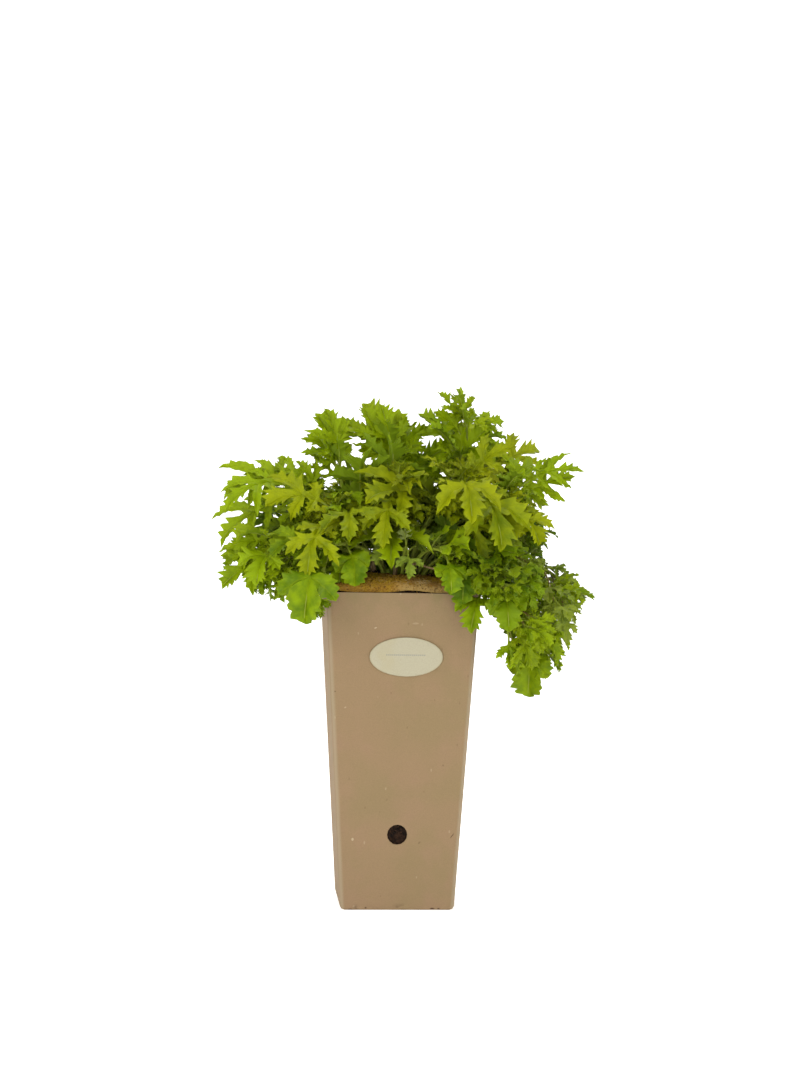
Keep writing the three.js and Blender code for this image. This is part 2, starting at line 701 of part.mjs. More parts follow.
// The leaves of one stem, each with its draws made, before any is bent clear. They turn about the
// stem by the golden angle, stand out most at the bottom, and the last one ends the stem.
function leavesOf(stem, line, seed) {
  const random = randomFrom(seed);
  const leaves = [];
  for (let i = 0; i < stem.leaves; i++) {
    const last = i === stem.leaves - 1;
    const rank = i / (stem.leaves - 1);
    const share = last ? lastLeafAt : MathUtils.lerp(stem.from, 1, rank);
    const tangent = line.curve.getTangent(share);
    const upper = new Vector3().crossVectors(tangent, line.side);
    const turn = MathUtils.degToRad(stem.turn + goldenAngle * i + jitter(random, spreadOf.turn));
    const opens = last ? lastOpens : MathUtils.lerp(lowestOpens, upperOpens, rank);
    const open = MathUtils.degToRad(opens + jitter(random, spreadOf.open));
    const start = tangent
      .clone()
      .multiplyScalar(Math.cos(open))
      .addScaledVector(line.side, Math.cos(turn) * Math.sin(open))
      .addScaledVector(upper, Math.sin(turn) * Math.sin(open));
    const heading = Math.atan2(start.y, start.x) + MathUtils.degToRad(last ? stem.swing : 0);
    const foot = linePoint(line, share);
    const towards = foot.y < backHalf ? Math.cos(heading) : -Math.cos(heading);
    const elevation = Math.asin(MathUtils.clamp(start.z, -1, 1));
    const faced = towards * (outwardRoll + steepRoll * Math.max(0, Math.sin(elevation)) ** 2);
    leaves.push({
      kind: leafKinds[stem.kind],
      foot,
      heading,
      elevation,
      length: stem.size * MathUtils.lerp(1, stem.top, rank) * (1 + jitter(random, spreadOf.length)),
      droop: MathUtils.degToRad(stem.droop * (1 + jitter(random, spreadOf.droop))),
      roll: MathUtils.degToRad(faced + jitter(random, spreadOf.roll)),
      fold: middleFold + jitter(random, spreadOf.fold),
      phase: 2 * Math.PI * random(),
      seed: 1 + Math.floor(leafSeeds * random()),
    });
  }
  return leaves;
}

// A leaf turned, lifted and sized: the numbers that leafPoint works with
function setLeaf(leaf, bend, shrink) {
  const length = leaf.length * shrink;
  const elevation = leaf.elevation + MathUtils.degToRad(bend.lift);
  const mostDroop = elevation - MathUtils.degToRad(steepestFall);
  const droop = MathUtils.clamp(leaf.droop, leastDroop, Math.max(mostDroop, leastDroop));
  const stalk = leaf.kind.stalk * length;
  const random = randomFrom(leaf.seed);
  return {
    foot: leaf.foot,
    heading: leaf.heading + MathUtils.degToRad(bend.turn),
    elevation,
    length,
    stalk,
    stalkBend: (stalkShare * droop) / stalk,
    bladeBend: ((1 - stalkShare) * droop) / (length - stalk),
    roll: leaf.roll,
    fold: leaf.fold,
    curl: halfCurl / length,
    wave: edgeWave,
    phase: leaf.phase,
    rib: ribPoints(leaf.kind, length),
    halves: [halfOutline(leaf.kind, length, random), halfOutline(leaf.kind, length, random)],
  };
}

// True if two solids' boxes come within a distance
function boxesNear(a, b, distance) {
  return [0, 1, 2].every(
    (k) => a.min[k] - distance < b.max[k] && b.min[k] - distance < a.max[k],
  );
}

function isClear(solid, box, placed, owner) {
  return placed.every((other) => {
    if (other.stemOf === owner) {
      return true;
    }
    const distance = other.leafOf === owner ? clearOfOwn : clearOfOthers;
    return !boxesNear(box, other.box, distance) || solid.minGap(other.solid, distance * 1.5) >= distance;
  });
}

// A stub that leans from its foot in the compost to its cut top
function stubSolid(stub, grow = 0) {
  const [x, y] = stub.root;
  const level = soilHeight(x, y);
  const radius = stub.radius + grow;
  const ring = (cx, cy, z) =>
    Array.from({ length: stubSides }, (_, i) => {
      const angle = (i / stubSides) * Math.PI * 2;
      return new Vector3(cx + radius * Math.cos(angle), cy + radius * Math.sin(angle), z);
    });
  const [leanX, leanY] = stub.lean.map((lean) => lean * stub.height);
  const foot = ring(x, y, level - stubDepth - grow);
  const top = ring(x + leanX, y + leanY, level + stub.height);
  return solidOf(loft([foot, top]));
}

const plant = new THREE.Group();
plant.name = 'potted_mugwort';

const pot = makePot();
const label = makeLabel();
const mat = makeMat();
let soil = makeSoil();
const placed = [pot, label, mat, soil].map((solid) => ({ solid, box: solid.boundingBox() }));

const cutStubs = stubs.map((stub) => stubSolid(stub));
for (const [index, solid] of cutStubs.entries()) {
  soil = soil.subtract(stubSolid(stubs[index], rootClearance));
  placed.push({ solid, box: solid.boundingBox() });
}

const grown = stems.map((stem, index) => {
  const line = stemLine(stem);
  const solid = stemSolid(line);
  soil = soil.subtract(stemSolid(line, rootClearance, 2));
  placed.push({ solid, box: solid.boundingBox(), stemOf: stem.name });
  return { stem, line, solid, seed: index + 1 };
});

// The longest leaves are set first, so that they keep their places. One that finds no room is left out.
const waiting = grown
  .flatMap((item) => leavesOf(item.stem, item.line, item.seed).map((leaf) => ({ item, leaf })))
  .sort((a, b) => b.leaf.length - a.leaf.length);
for (const { item, leaf } of waiting) {
  shrinks.some((shrink) =>
    bends.some((bend) => {
      const solid = bladeSolid(setLeaf(leaf, bend, shrink));
      const box = solid.boundingBox();
      if (!isClear(solid, box, placed, item.stem.name)) {
        return false;
      }
      placed.push({ solid, box, leafOf: item.stem.name });
      item.solid = item.solid.add(solid);
      return true;
    }),
  );
}

for (const { stem, solid } of grown) {
  const [x, y] = stem.root;
  const place = new Vector3(x, y, soilHeight(x, y));
  plant.add(meshOf('stem_' + stem.name, solid.simplify(simplifyBy), leafGreens[stem.green], place));
}
for (const [index, solid] of cutStubs.entries()) {
  const [x, y] = stubs[index].root;
  plant.add(meshOf('old_stub_' + (index + 1), solid, dryStem, new Vector3(x, y, soilHeight(x, y))));
}
plant.add(meshOf('pot', pot, card));
plant.add(meshOf('label', label, paper));
plant.add(meshOf('mulch_mat', mat, fibre));
plant.add(meshOf('soil', soil, compost));

export default plant;
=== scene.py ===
import math
from math import cos, pi, radians, sin

import bmesh
import bpy
from mathutils import Matrix, Vector, noise
from mathutils.bvhtree import BVHTree
from mathutils.kdtree import KDTree


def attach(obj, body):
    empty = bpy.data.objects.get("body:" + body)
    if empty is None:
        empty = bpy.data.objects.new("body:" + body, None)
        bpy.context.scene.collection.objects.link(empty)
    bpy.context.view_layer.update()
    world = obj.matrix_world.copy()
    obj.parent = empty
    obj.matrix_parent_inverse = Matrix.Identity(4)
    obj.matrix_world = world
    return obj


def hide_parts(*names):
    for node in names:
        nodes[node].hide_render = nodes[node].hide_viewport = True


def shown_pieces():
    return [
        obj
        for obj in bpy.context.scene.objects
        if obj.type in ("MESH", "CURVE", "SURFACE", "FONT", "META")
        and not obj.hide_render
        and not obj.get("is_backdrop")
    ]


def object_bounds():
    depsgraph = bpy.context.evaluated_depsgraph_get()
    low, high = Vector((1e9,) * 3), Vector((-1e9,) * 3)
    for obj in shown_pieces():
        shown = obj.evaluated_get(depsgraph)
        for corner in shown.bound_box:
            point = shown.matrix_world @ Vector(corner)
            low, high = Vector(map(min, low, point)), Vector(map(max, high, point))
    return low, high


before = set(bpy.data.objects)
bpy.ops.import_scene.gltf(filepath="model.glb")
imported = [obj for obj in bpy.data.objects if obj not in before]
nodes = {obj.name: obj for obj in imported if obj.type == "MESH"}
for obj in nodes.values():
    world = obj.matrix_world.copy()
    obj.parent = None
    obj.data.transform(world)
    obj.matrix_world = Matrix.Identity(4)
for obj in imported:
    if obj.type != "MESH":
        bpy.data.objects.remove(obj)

# Shapes are worked out in millimetres, and makePiece turns them into metres
mm = 0.001
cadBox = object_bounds()
scene = bpy.context.scene


def lerp(a, b, share):
    return a + (b - a) * share


def clamp(value, low=0.0, high=1.0):
    return max(low, min(high, value))


# The stream of numbers that the part's own leaves were drawn with
drawRule = dict(step=7919, start=17, factor=16807, limit=2147483647)


def drawsFrom(seed):
    state = seed * drawRule["step"] + drawRule["start"]
    while True:
        state = state * drawRule["factor"] % drawRule["limit"]
        yield state / drawRule["limit"]


def jitter(draws, spread):
    return spread * (next(draws) - 0.5)


def flatWay(angle):
    return Vector((cos(angle), sin(angle), 0))


# sRGB from 0 to 255 as linear
def shade(red, green, blue):
    def one(value):
        value /= 255
        return value / 12.92 if value <= 0.04045 else ((value + 0.055) / 1.055) ** 2.4
    return (one(red), one(green), one(blue))


# STUDIO
studio = dict(
    distance=1.4, azimuth=-4.3, height=0.237, aim=(-0.0025, -0.045, 0.237), lens=73.2, sensor=36, roll=0.85,
    lampAim=(0, 0, 0.2), sky=0.28, floorRadius=2.6, floorBend=0.9, bendRows=8, floorTurns=64, wallHeight=2.4,
    floorColour=(0.93, 0.93, 0.92), floorGlow=0.6, floorRoughness=0.9, floorSpecular=0.1,
)
lamps = [
    dict(name="keyLamp", place=(-1.3, -1.5, 1.5), size=1.1, power=12, colour=(1.0, 0.98, 0.94)),
    dict(name="fillLamp", place=(1.6, -1.3, 0.8), size=1.4, power=5, colour=(0.96, 0.98, 1.0)),
    dict(name="topLamp", place=(0.1, 0.3, 1.9), size=1.0, power=15, colour=(1.0, 1.0, 1.0)),
]


def makeCamera():
    turn = radians(studio["azimuth"])
    place = Vector((studio["distance"] * sin(turn), -studio["distance"] * cos(turn), studio["height"]))
    data = bpy.data.cameras.new("camera")
    data.lens = studio["lens"]
    data.sensor_width = studio["sensor"]
    camera = bpy.data.objects.new("camera", data)
    camera.location = place
    aimed = (Vector(studio["aim"]) - place).to_track_quat("-Z", "Y").to_matrix()
    camera.rotation_euler = (aimed @ Matrix.Rotation(radians(studio["roll"]), 3, "Z")).to_euler()
    scene.collection.objects.link(camera)
    scene.camera = camera


def makeLamps():
    for lamp in lamps:
        data = bpy.data.lights.new(lamp["name"], "AREA")
        data.shape = "DISK"
        data.size = lamp["size"]
        data.energy = lamp["power"]
        data.color = lamp["colour"]
        light = bpy.data.objects.new(lamp["name"], data)
        light.location = lamp["place"]
        aim = Vector(studio["lampAim"]) - light.location
        light.rotation_euler = aim.to_track_quat("-Z", "Y").to_euler()
        scene.collection.objects.link(light)
    world = bpy.data.worlds.new("sky")
    scene.world = world
    world.use_nodes = True
    sky = world.node_tree.nodes["Background"]
    sky.inputs["Color"].default_value = (1, 1, 1, 1)
    sky.inputs["Strength"].default_value = studio["sky"]


# A round pale floor whose rim sweeps up to a low wall, so that no view shows its end
def makeFloor():
    bm = bmesh.new()
    radius, bend = studio["floorRadius"], studio["floorBend"]
    turns = [pi / 2 * i / studio["bendRows"] for i in range(1, studio["bendRows"] + 1)]
    profile = [(0, 0), (radius * 0.5, 0), (radius, 0)]
    profile += [(radius + bend * sin(a), bend - bend * cos(a)) for a in turns]
    profile.append((radius + bend, studio["wallHeight"]))
    verts = [bm.verts.new((x, 0, z)) for x, z in profile]
    edges = [bm.edges.new(pair) for pair in zip(verts, verts[1:])]
    bmesh.ops.spin(bm, geom=verts + edges, cent=(0, 0, 0), axis=(0, 0, 1), angle=2 * pi,
                   steps=studio["floorTurns"], use_merge=True)
    bmesh.ops.remove_doubles(bm, verts=bm.verts, dist=1e-5)
    bmesh.ops.recalc_face_normals(bm, faces=bm.faces)
    mesh = bpy.data.meshes.new("studioFloor")
    bm.to_mesh(mesh)
    bm.free()
    mesh.shade_smooth()
    floor = bpy.data.objects.new("studioFloor", mesh)
    scene.collection.objects.link(floor)
    material = bpy.data.materials.new("paleFloor")
    material.use_nodes = True
    shader = material.node_tree.nodes["Principled BSDF"]
    shader.inputs["Base Color"].default_value = (*studio["floorColour"], 1)
    shader.inputs["Roughness"].default_value = studio["floorRoughness"]
    shader.inputs["Specular IOR Level"].default_value = studio["floorSpecular"]
    shader.inputs["Emission Color"].default_value = (1, 1, 1, 1)
    shader.inputs["Emission Strength"].default_value = studio["floorGlow"]
    mesh.materials.append(material)
    floor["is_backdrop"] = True


makeCamera()
makeLamps()
makeFloor()
scene.view_settings.view_transform = "Standard"
print("studio is ready")


# MESH HELPERS
# How close points lie that become one, in millimetres, and the angle past which an edge stays sharp
merge = dict(tube=1e-3, blade=0.02, sliver=0.01, sharp=50)


# A grid of quads whose corners are moved to where placeOf puts them
def addGrid(bm, along, across, placeOf):
    made = bmesh.ops.create_grid(bm, x_segments=along, y_segments=across, size=1)["verts"]
    for vert in made:
        i = round((vert.co.x + 1) / 2 * along)
        j = round((vert.co.y + 1) / 2 * across)
        vert.co = placeOf(vert, i, j)
    return made


# A closed tube round a line of (place, radius, side, upper); its ends shrink to points
def addTube(bm, rings, sides):
    last = len(rings) + 1

    def placeOf(vert, i, j):
        place, radius, side, upper = rings[clamp(i - 1, 0, len(rings) - 1)]
        turn = 2 * pi * j / sides
        return place + (0 if i in (0, last) else radius) * (cos(turn) * side + sin(turn) * upper)

    bmesh.ops.remove_doubles(bm, verts=addGrid(bm, last, sides, placeOf), dist=merge["tube"])


def joinInto(bm, other):
    mesh = bpy.data.meshes.new("loose")
    other.to_mesh(mesh)
    other.free()
    bm.from_mesh(mesh)
    bpy.data.meshes.remove(mesh)


def makePiece(name, bm, materials, stands=(), sharp=merge["sharp"]):
    bmesh.ops.scale(bm, vec=(mm, mm, mm), verts=bm.verts)
    mesh = bpy.data.meshes.new(name)
    bm.to_mesh(mesh)
    bm.free()
    mesh.shade_smooth()
    mesh.set_sharp_from_angle(angle=radians(sharp))
    piece = bpy.data.objects.new(name, mesh)
    scene.collection.objects.link(piece)
    for material in materials:
        mesh.materials.append(material)
    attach(piece, "root")
    if stands:
        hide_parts(*stands)
    return piece


# A CAD node's own mesh as a merged copy, in millimetres
def copyOf(node):
    bm = bmesh.new()
    bm.from_mesh(nodes[node].data)
    bmesh.ops.remove_doubles(bm, verts=bm.verts, dist=1e-6)
    bmesh.ops.scale(bm, vec=(1 / mm, 1 / mm, 1 / mm), verts=bm.verts)
    return bm


# SHADER HELPERS

# Links a socket to another, or gives it a value
def feed(tree, socket, value):
    if isinstance(value, bpy.types.NodeSocket):
        tree.links.new(value, socket)
    elif socket.type == "RGBA":
        socket.default_value = (*value, 1)
    else:
        socket.default_value = value


def feedAll(tree, node, values):
    for name, value in values.items():
        feed(tree, node.inputs[name], value)
    return node


def addNode(tree, kind, values=None, **settings):
    node = tree.nodes.new("ShaderNode" + kind)
    for name, value in settings.items():
        setattr(node, name, value)
    return feedAll(tree, node, values or {})


def math2(tree, operation, a, b=0.0):
    node = addNode(tree, "Math", operation=operation)
    feed(tree, node.inputs[0], a)
    feed(tree, node.inputs[1], b)
    return node.outputs[0]


def times(tree, first, *others):
    for value in others:
        first = math2(tree, "MULTIPLY", first, value)
    return first


def plus(tree, first, *others):
    for value in others:
        first = math2(tree, "ADD", first, value)
    return first


def minus(tree, a, b):
    return math2(tree, "SUBTRACT", a, b)


def over(tree, a, b):
    return math2(tree, "DIVIDE", a, b)


def sizeOf(tree, value):
    return math2(tree, "ABSOLUTE", value)


# A value carried from one range to another, with soft ends
def ramp(tree, value, low, high, start=0.0, end=1.0):
    node = addNode(tree, "MapRange", {"Value": value, "From Min": low, "From Max": high,
                                      "To Min": start, "To Max": end}, interpolation_type="SMOOTHSTEP")
    return node.outputs["Result"]


def blendOf(tree, factor, a, b, mode="MIX"):
    node = addNode(tree, "Mix", data_type="RGBA", blend_type=mode)
    for index, value in ((0, factor), (6, a), (7, b)):
        feed(tree, node.inputs[index], value)
    return node.outputs[2]


def noiseOf(tree, place, scale, detail, roughness=0.55, distortion=0.0):
    node = addNode(tree, "TexNoise", {"Vector": place, "Scale": scale, "Detail": detail,
                                      "Roughness": roughness, "Distortion": distortion})
    return node.outputs["Fac"]


def objectPlace(tree):
    return addNode(tree, "TexCoord").outputs["Object"]


def mapped(tree, place, **values):
    return addNode(tree, "Mapping", {"Vector": place, **values}).outputs[0]


def partsOf(tree, vector):
    return addNode(tree, "SeparateXYZ", {"Vector": vector}).outputs


def attributeOf(tree, name):
    return partsOf(tree, addNode(tree, "Attribute", attribute_name=name).outputs["Vector"])


# The squared way out from the middle of an oval, which is 1 at its edge
def ovalReach(tree, fromX, fromZ, wide, tall):
    return plus(tree, math2(tree, "POWER", over(tree, fromX, wide), 2),
                math2(tree, "POWER", over(tree, fromZ, tall), 2))


def newGroup(name, inputs, outputs):
    tree = bpy.data.node_groups.new(name, "ShaderNodeTree")
    for way, sockets in (("INPUT", inputs), ("OUTPUT", outputs)):
        for label, kind in sockets.items():
            tree.interface.new_socket(name=label, in_out=way, socket_type="NodeSocket" + kind)
    return tree, tree.nodes.new("NodeGroupInput").outputs, tree.nodes.new("NodeGroupOutput")


def placeGroup(tree, group, **values):
    node = tree.nodes.new("ShaderNodeGroup")
    node.node_tree = group
    return feedAll(tree, node, values).outputs


def newMaterial(name):
    material = bpy.data.materials.new(name)
    material.use_nodes = True
    tree = material.node_tree
    return material, tree, tree.nodes["Principled BSDF"]


def bumpOf(tree, height, look):
    return addNode(tree, "Bump", {"Height": height, "Strength": look["bump"],
                                  "Distance": look["relief"]}).outputs["Normal"]


# A material of one colour pattern and one relief, with the gloss that its look gives
def finishOf(name, look, paint):
    material, tree, shader = newMaterial(name)
    colour, height = paint(tree)
    feedAll(tree, shader, {"Base Color": colour, "Roughness": look["roughness"],
                           "Specular IOR Level": look["specular"], "Normal": bumpOf(tree, height, look)})
    return material


# LEAF FINISH
leafFinishes = dict(
    leaf_bright=dict(light=shade(160, 170, 0), deep=shade(94, 116, 0), under=shade(132, 146, 30)),
    leaf_fresh=dict(light=shade(147, 172, 0), deep=shade(76, 110, 0), under=shade(122, 146, 30)),
    leaf_deep=dict(light=shade(120, 148, 0), deep=shade(54, 90, 0), under=shade(104, 130, 36)),
    leaf_grey=dict(light=shade(134, 154, 50), deep=shade(78, 104, 28), under=shade(138, 150, 84)),
)
leafLook = dict(
    vein=shade(176, 188, 30), old=shade(156, 134, 0), mottle=160, grain=900, patches=48,
    # the main vein's reach and widths, and the slant, wander and spacing of the side veins, in millimetres
    veinReach=26, veinWide=1.3, veinThin=0.5, sideSlant=1.05, sideWander=1.6, sideVein=4.6,
    # how much each shows in the colour
    veinShare=0.16, sideShare=0.32, rimShare=0.16, patchShare=1.1, puffShare=0.05, oldShare=0.5,
    underShare=0.75, glowShare=0.25,
    # the relief and the gloss
    puffRelief=0.25, grainRelief=0.35, bump=0.35, relief=0.0004, smooth=0.46, rough=0.62, specular=0.17,
    translucent=0.25,
)


# Colour, glow and relief of a leaf. The attribute vein holds the way along a lobe's vein, the distance
# from it in millimetres and the share of the way to the edge. The attribute leaf holds tone, underside
# and age; the tone also carries painted shade, which darkens leaves in the bush's heart.
def makeLeafGroup():
    look = leafLook
    tree, into, out = newGroup(
        "leafSkin", dict.fromkeys(("light", "deep", "under", "vein", "old"), "Color"),
        dict(colour="Color", glow="Color", height="Float", roughness="Float"))
    place = objectPlace(tree)
    along, signed, edge = attributeOf(tree, "vein")
    tone, under, age = attributeOf(tree, "leaf")
    across = sizeOf(tree, signed)
    mottle = noiseOf(tree, place, look["mottle"], 3)
    # the main vein narrows towards the tip of its lobe
    width = ramp(tree, along, 0, look["veinReach"], look["veinWide"], look["veinThin"])
    mainVein = ramp(tree, over(tree, across, width), 0.1, 1.0, 1.0, 0.0)
    # side veins start on it at an even spacing and fade before the edge
    slant = minus(tree, along, times(tree, across, look["sideSlant"]))
    wander = times(tree, minus(tree, mottle, 0.5), look["sideWander"])
    phase = over(tree, plus(tree, slant, wander), look["sideVein"])
    gap = sizeOf(tree, minus(tree, math2(tree, "FRACT", phase), 0.5))
    sideVein = times(tree, ramp(tree, gap, 0.34, 0.5), ramp(tree, edge, 0.97, 0.6),
                     ramp(tree, slant, 0.2, 1.4))
    veins = math2(tree, "MAXIMUM", mainVein, times(tree, sideVein, look["sideShare"]))
    # the skin is puffed up a little between the side veins in relief, and the puffs are also painted a little
    # lighter, a painted highlight
    puff = times(tree, ramp(tree, gap, 0.5, 0.05), ramp(tree, edge, 1.0, 0.5))
    patches = minus(tree, plus(tree, mottle, noiseOf(tree, place, look["patches"], 2)), 1.0)
    fullness = plus(tree, tone, times(tree, patches, look["patchShare"]),
                    times(tree, puff, look["puffShare"]))
    # deep to light by tone, patches and puffs: this holds the painted shade of the bush's heart and the painted
    # highlight on the puffs
    skin = blendOf(tree, ramp(tree, fullness, 0.0, 1.0), into["deep"], into["light"])
    skin = blendOf(tree, times(tree, age, look["oldShare"]), skin, into["old"])
    skin = blendOf(tree, times(tree, ramp(tree, edge, 0.72, 1.0), look["rimShare"]), skin, into["vein"])
    skin = blendOf(tree, times(tree, veins, look["veinShare"]), skin, into["vein"])
    skin = blendOf(tree, times(tree, under, look["underShare"]), skin, into["under"])
    # veins are grooves above and ribs below
    upside = times(tree, minus(tree, 0.5, under), -2.0)
    height = times(tree, minus(tree, veins, times(tree, puff, look["puffRelief"])), upside)
    grain = noiseOf(tree, place, look["grain"], 2)
    feedAll(tree, out, dict(
        colour=skin, glow=blendOf(tree, look["glowShare"], skin, into["vein"]),
        height=plus(tree, height, times(tree, grain, look["grainRelief"])),
        roughness=ramp(tree, mottle, 0.3, 0.7, look["smooth"], look["rough"])))
    return tree


def makeLeafMaterial(name, finish, group):
    material, tree, shader = newMaterial(name)
    skin = placeGroup(tree, group, vein=leafLook["vein"], old=leafLook["old"], **finish)
    normal = bumpOf(tree, skin["height"], leafLook)
    feedAll(tree, shader, {"Base Color": skin["colour"], "Roughness": skin["roughness"],
                           "Specular IOR Level": leafLook["specular"], "Normal": normal})
    glow = addNode(tree, "BsdfTranslucent", {"Color": skin["glow"], "Normal": normal})
    both = addNode(tree, "MixShader")
    both.inputs[0].default_value = leafLook["translucent"]
    tree.links.new(shader.outputs[0], both.inputs[1])
    tree.links.new(glow.outputs[0], both.inputs[2])
    tree.links.new(both.outputs[0], tree.nodes["Material Output"].inputs["Surface"])
    return material


# STALK FINISH
stalkLook = dict(
    green=shade(140, 156, 40), red=shade(104, 70, 36), pale=shade(172, 182, 84), streaks=7, mottle=130,
    grain=700,
    streakShare=0.5, redShare=0.85, streakRelief=0.4, roughness=0.55, specular=0.25, bump=0.4, relief=0.0003,
)


# A stalk has the way along and round it in the attribute vein, and its redness in the attribute leaf
def paintStalk(tree):
    look = stalkLook
    place = objectPlace(tree)
    around = attributeOf(tree, "vein")[1]
    redness = attributeOf(tree, "leaf")[2]
    streak = math2(tree, "SINE", times(tree, around, 2 * pi * look["streaks"]))
    streaked = ramp(tree, streak, -0.4, 1.0, 0.0, look["streakShare"])
    colour = blendOf(tree, streaked, look["green"], look["pale"])
    patchy = plus(tree, redness, minus(tree, noiseOf(tree, place, look["mottle"], 3), 0.5))
    colour = blendOf(tree, ramp(tree, patchy, 0.25, 1.0, 0.0, look["redShare"]), colour, look["red"])
    grain = noiseOf(tree, place, look["grain"], 2)
    return colour, plus(tree, times(tree, streak, look["streakRelief"]), grain)


# CARD POT
potSize = dict(height=200, rim=96.5, foot=72, ventX=-1, ventZ=48, ventRadius=6.3)
card = dict(
    skin=dict(main=shade(136, 113, 83), warm=shade(139, 113, 86), cool=shade(131, 112, 79),
              paleFleck=shade(176, 160, 128), darkFleck=shade(92, 70, 48), flecks=0.3),
    # pale is the colour of the painted highlight on the rounded corners
    pale=shade(156, 143, 119), dirt=shade(58, 38, 26), damp=shade(118, 108, 70), smudge=90,
    # how far the painted highlight on the rounded corners, the dirt at the foot and the darker, greener top
    # reach, and how much they show
    corner=3.4, cornerShare=0.5, dirtTop=5, dirtShare=0.8, dampFoot=176, dampShare=0.3, frontStart=-30,
    frontEnd=-34,
    roughness=0.78, specular=0.25, bump=0.35, relief=0.0004,
)
# Marks on the front: where across and up, half their width and height, how far they lean, how dark they are
cardMarks = [
    (-29, 45, 0.9, 1.1, 0, -0.8), (-17, 178, 0.9, 0.6, 0.8, -0.7), (13, 43, 0.7, 0.9, 0.5, 0.35),
    (33.6, 47.5, 0.4, 1.9, 0.7, 0.75), (-20, 1.6, 0.8, 0.7, 0, 0.8), (22, 1.2, 1.6, 0.6, 0, 0.9),
    (26, 1.2, 0.9, 0.5, 0, 0.9), (-35, 128, 0.8, 0.7, 0.4, -0.4), (8, 181, 2.4, 0.8, 0.1, -0.25),
    (-41.5, 138, 0.8, 0.35, 0, 0.6), (27, 92, 0.6, 0.8, 0, 0.3), (-8, 70, 0.5, 1.1, 0.6, 0.22),
]
# Noise scales of card and paper, and the two kinds of fleck: their scale, and the size of each in its cell
fibreLook = dict(
    wide=28, warm=42, warmPlace=(3, 1, 2), grain=1600, darkest=0.94, lightest=1.05, grainRelief=0.6,
    wideRelief=2.0,
    fleckStretch=(1.0, 1.0, 0.55), fleckPlace=(5.3, 2.1, 0.7), paleFleck=(150, 0.055), darkFleck=(190, 0.05),
)


# Half the pot's width at a height
def potHalf(z):
    return lerp(potSize["foot"], potSize["rim"], z / potSize["height"]) / 2


# Fine fibres, wide clouding and scattered flecks, which card and paper share
def makeFibreGroup():
    look = fibreLook
    tree, into, out = newGroup(
        "pressedFibre",
        dict(dict.fromkeys(("main", "warm", "cool", "paleFleck", "darkFleck"), "Color"), flecks="Float"),
        dict(colour="Color", height="Float"))
    place = objectPlace(tree)
    wide = noiseOf(tree, place, look["wide"], 2)
    warm = noiseOf(tree, mapped(tree, place, Location=look["warmPlace"]), look["warm"], 3)
    fine = noiseOf(tree, place, look["grain"], 3, 0.7)
    colour = blendOf(tree, ramp(tree, wide, 0.42, 0.66, 0, 0.7), into["main"], into["cool"])
    colour = blendOf(tree, ramp(tree, warm, 0.5, 0.72, 0, 0.65), colour, into["warm"])
    grain = ramp(tree, fine, 0.3, 0.7, look["darkest"], look["lightest"])
    grey = addNode(tree, "CombineColor", dict.fromkeys(("Red", "Green", "Blue"), grain)).outputs[0]
    colour = blendOf(tree, 1.0, colour, grey, "MULTIPLY")
    # flecks are short fibres, so their cells are stretched
    stretched = mapped(tree, place, Scale=look["fleckStretch"])
    stepX, stepY, stepZ = look["fleckPlace"]
    for index, label in enumerate(("paleFleck", "darkFleck")):
        scale, share = look[label]
        moved = mapped(tree, stretched, Location=(index * stepX, stepY, stepZ))
        cell = addNode(tree, "TexVoronoi", {"Vector": moved, "Scale": scale, "Randomness": 1.0}).outputs
        near = ramp(tree, cell["Distance"], share, share * 2.2, 1, 0)
        # about a third of the cells have one
        chosen = ramp(tree, addNode(tree, "SeparateColor", {"Color": cell["Color"]}).outputs[0], 0.62, 0.7)
        colour = blendOf(tree, times(tree, near, chosen, into["flecks"]), colour, into[label])
    height = plus(tree, times(tree, fine, look["grainRelief"]), times(tree, wide, look["wideRelief"]))
    feedAll(tree, out, dict(colour=colour, height=height))
    return tree


# A mask that is 1 on the pot's four upright corners, where a painted highlight stands in for the light that the
# rounded corners catch
def cornerHighlightMask(tree, x, y, z):
    slope = (potSize["rim"] - potSize["foot"]) / 2 / potSize["height"]
    half = plus(tree, times(tree, z, slope), potSize["foot"] / 2 * mm)
    gap = math2(tree, "MAXIMUM", minus(tree, half, sizeOf(tree, x)), minus(tree, half, sizeOf(tree, y)))
    return ramp(tree, gap, card["corner"] * mm * 0.35, card["corner"] * mm, 1, 0)


def paintCard(tree):
    place = objectPlace(tree)
    skin = placeGroup(tree, fibreGroup, **card["skin"])
    x, y, z = partsOf(tree, place)
    # painted highlight: the rounded corners are lightened as if they caught the light
    corner = times(tree, cornerHighlightMask(tree, x, y, z), card["cornerShare"])
    colour = blendOf(tree, corner, skin["colour"], card["pale"])
    # dirt gathers at the foot, and the top of the pot turns a little darker and greener in patches
    smudge = noiseOf(tree, place, card["smudge"], 4, 0.6)
    dirt = times(tree, ramp(tree, z, 0.0, card["dirtTop"] * mm, 1, 0), ramp(tree, smudge, 0.58, 0.68))
    colour = blendOf(tree, times(tree, dirt, card["dirtShare"]), colour, card["dirt"])
    damp = ramp(tree, z, card["dampFoot"] * mm, potSize["height"] * mm)
    damp = times(tree, damp, ramp(tree, smudge, 0.45, 0.65), card["dampShare"])
    colour = blendOf(tree, damp, colour, card["damp"])
    front = ramp(tree, y, card["frontStart"] * mm, card["frontEnd"] * mm)
    for across, up, wide, tall, lean, dark in cardMarks:
        fromZ = minus(tree, z, up * mm)
        fromX = minus(tree, minus(tree, x, across * mm), times(tree, fromZ, lean))
        reach = ovalReach(tree, fromX, fromZ, wide * mm, tall * mm)
        ink = card["dirt"] if dark > 0 else card["skin"]["paleFleck"]
        colour = blendOf(tree, times(tree, ramp(tree, reach, 0.3, 1.0, abs(dark), 0), front), colour, ink)
    return colour, skin["height"]


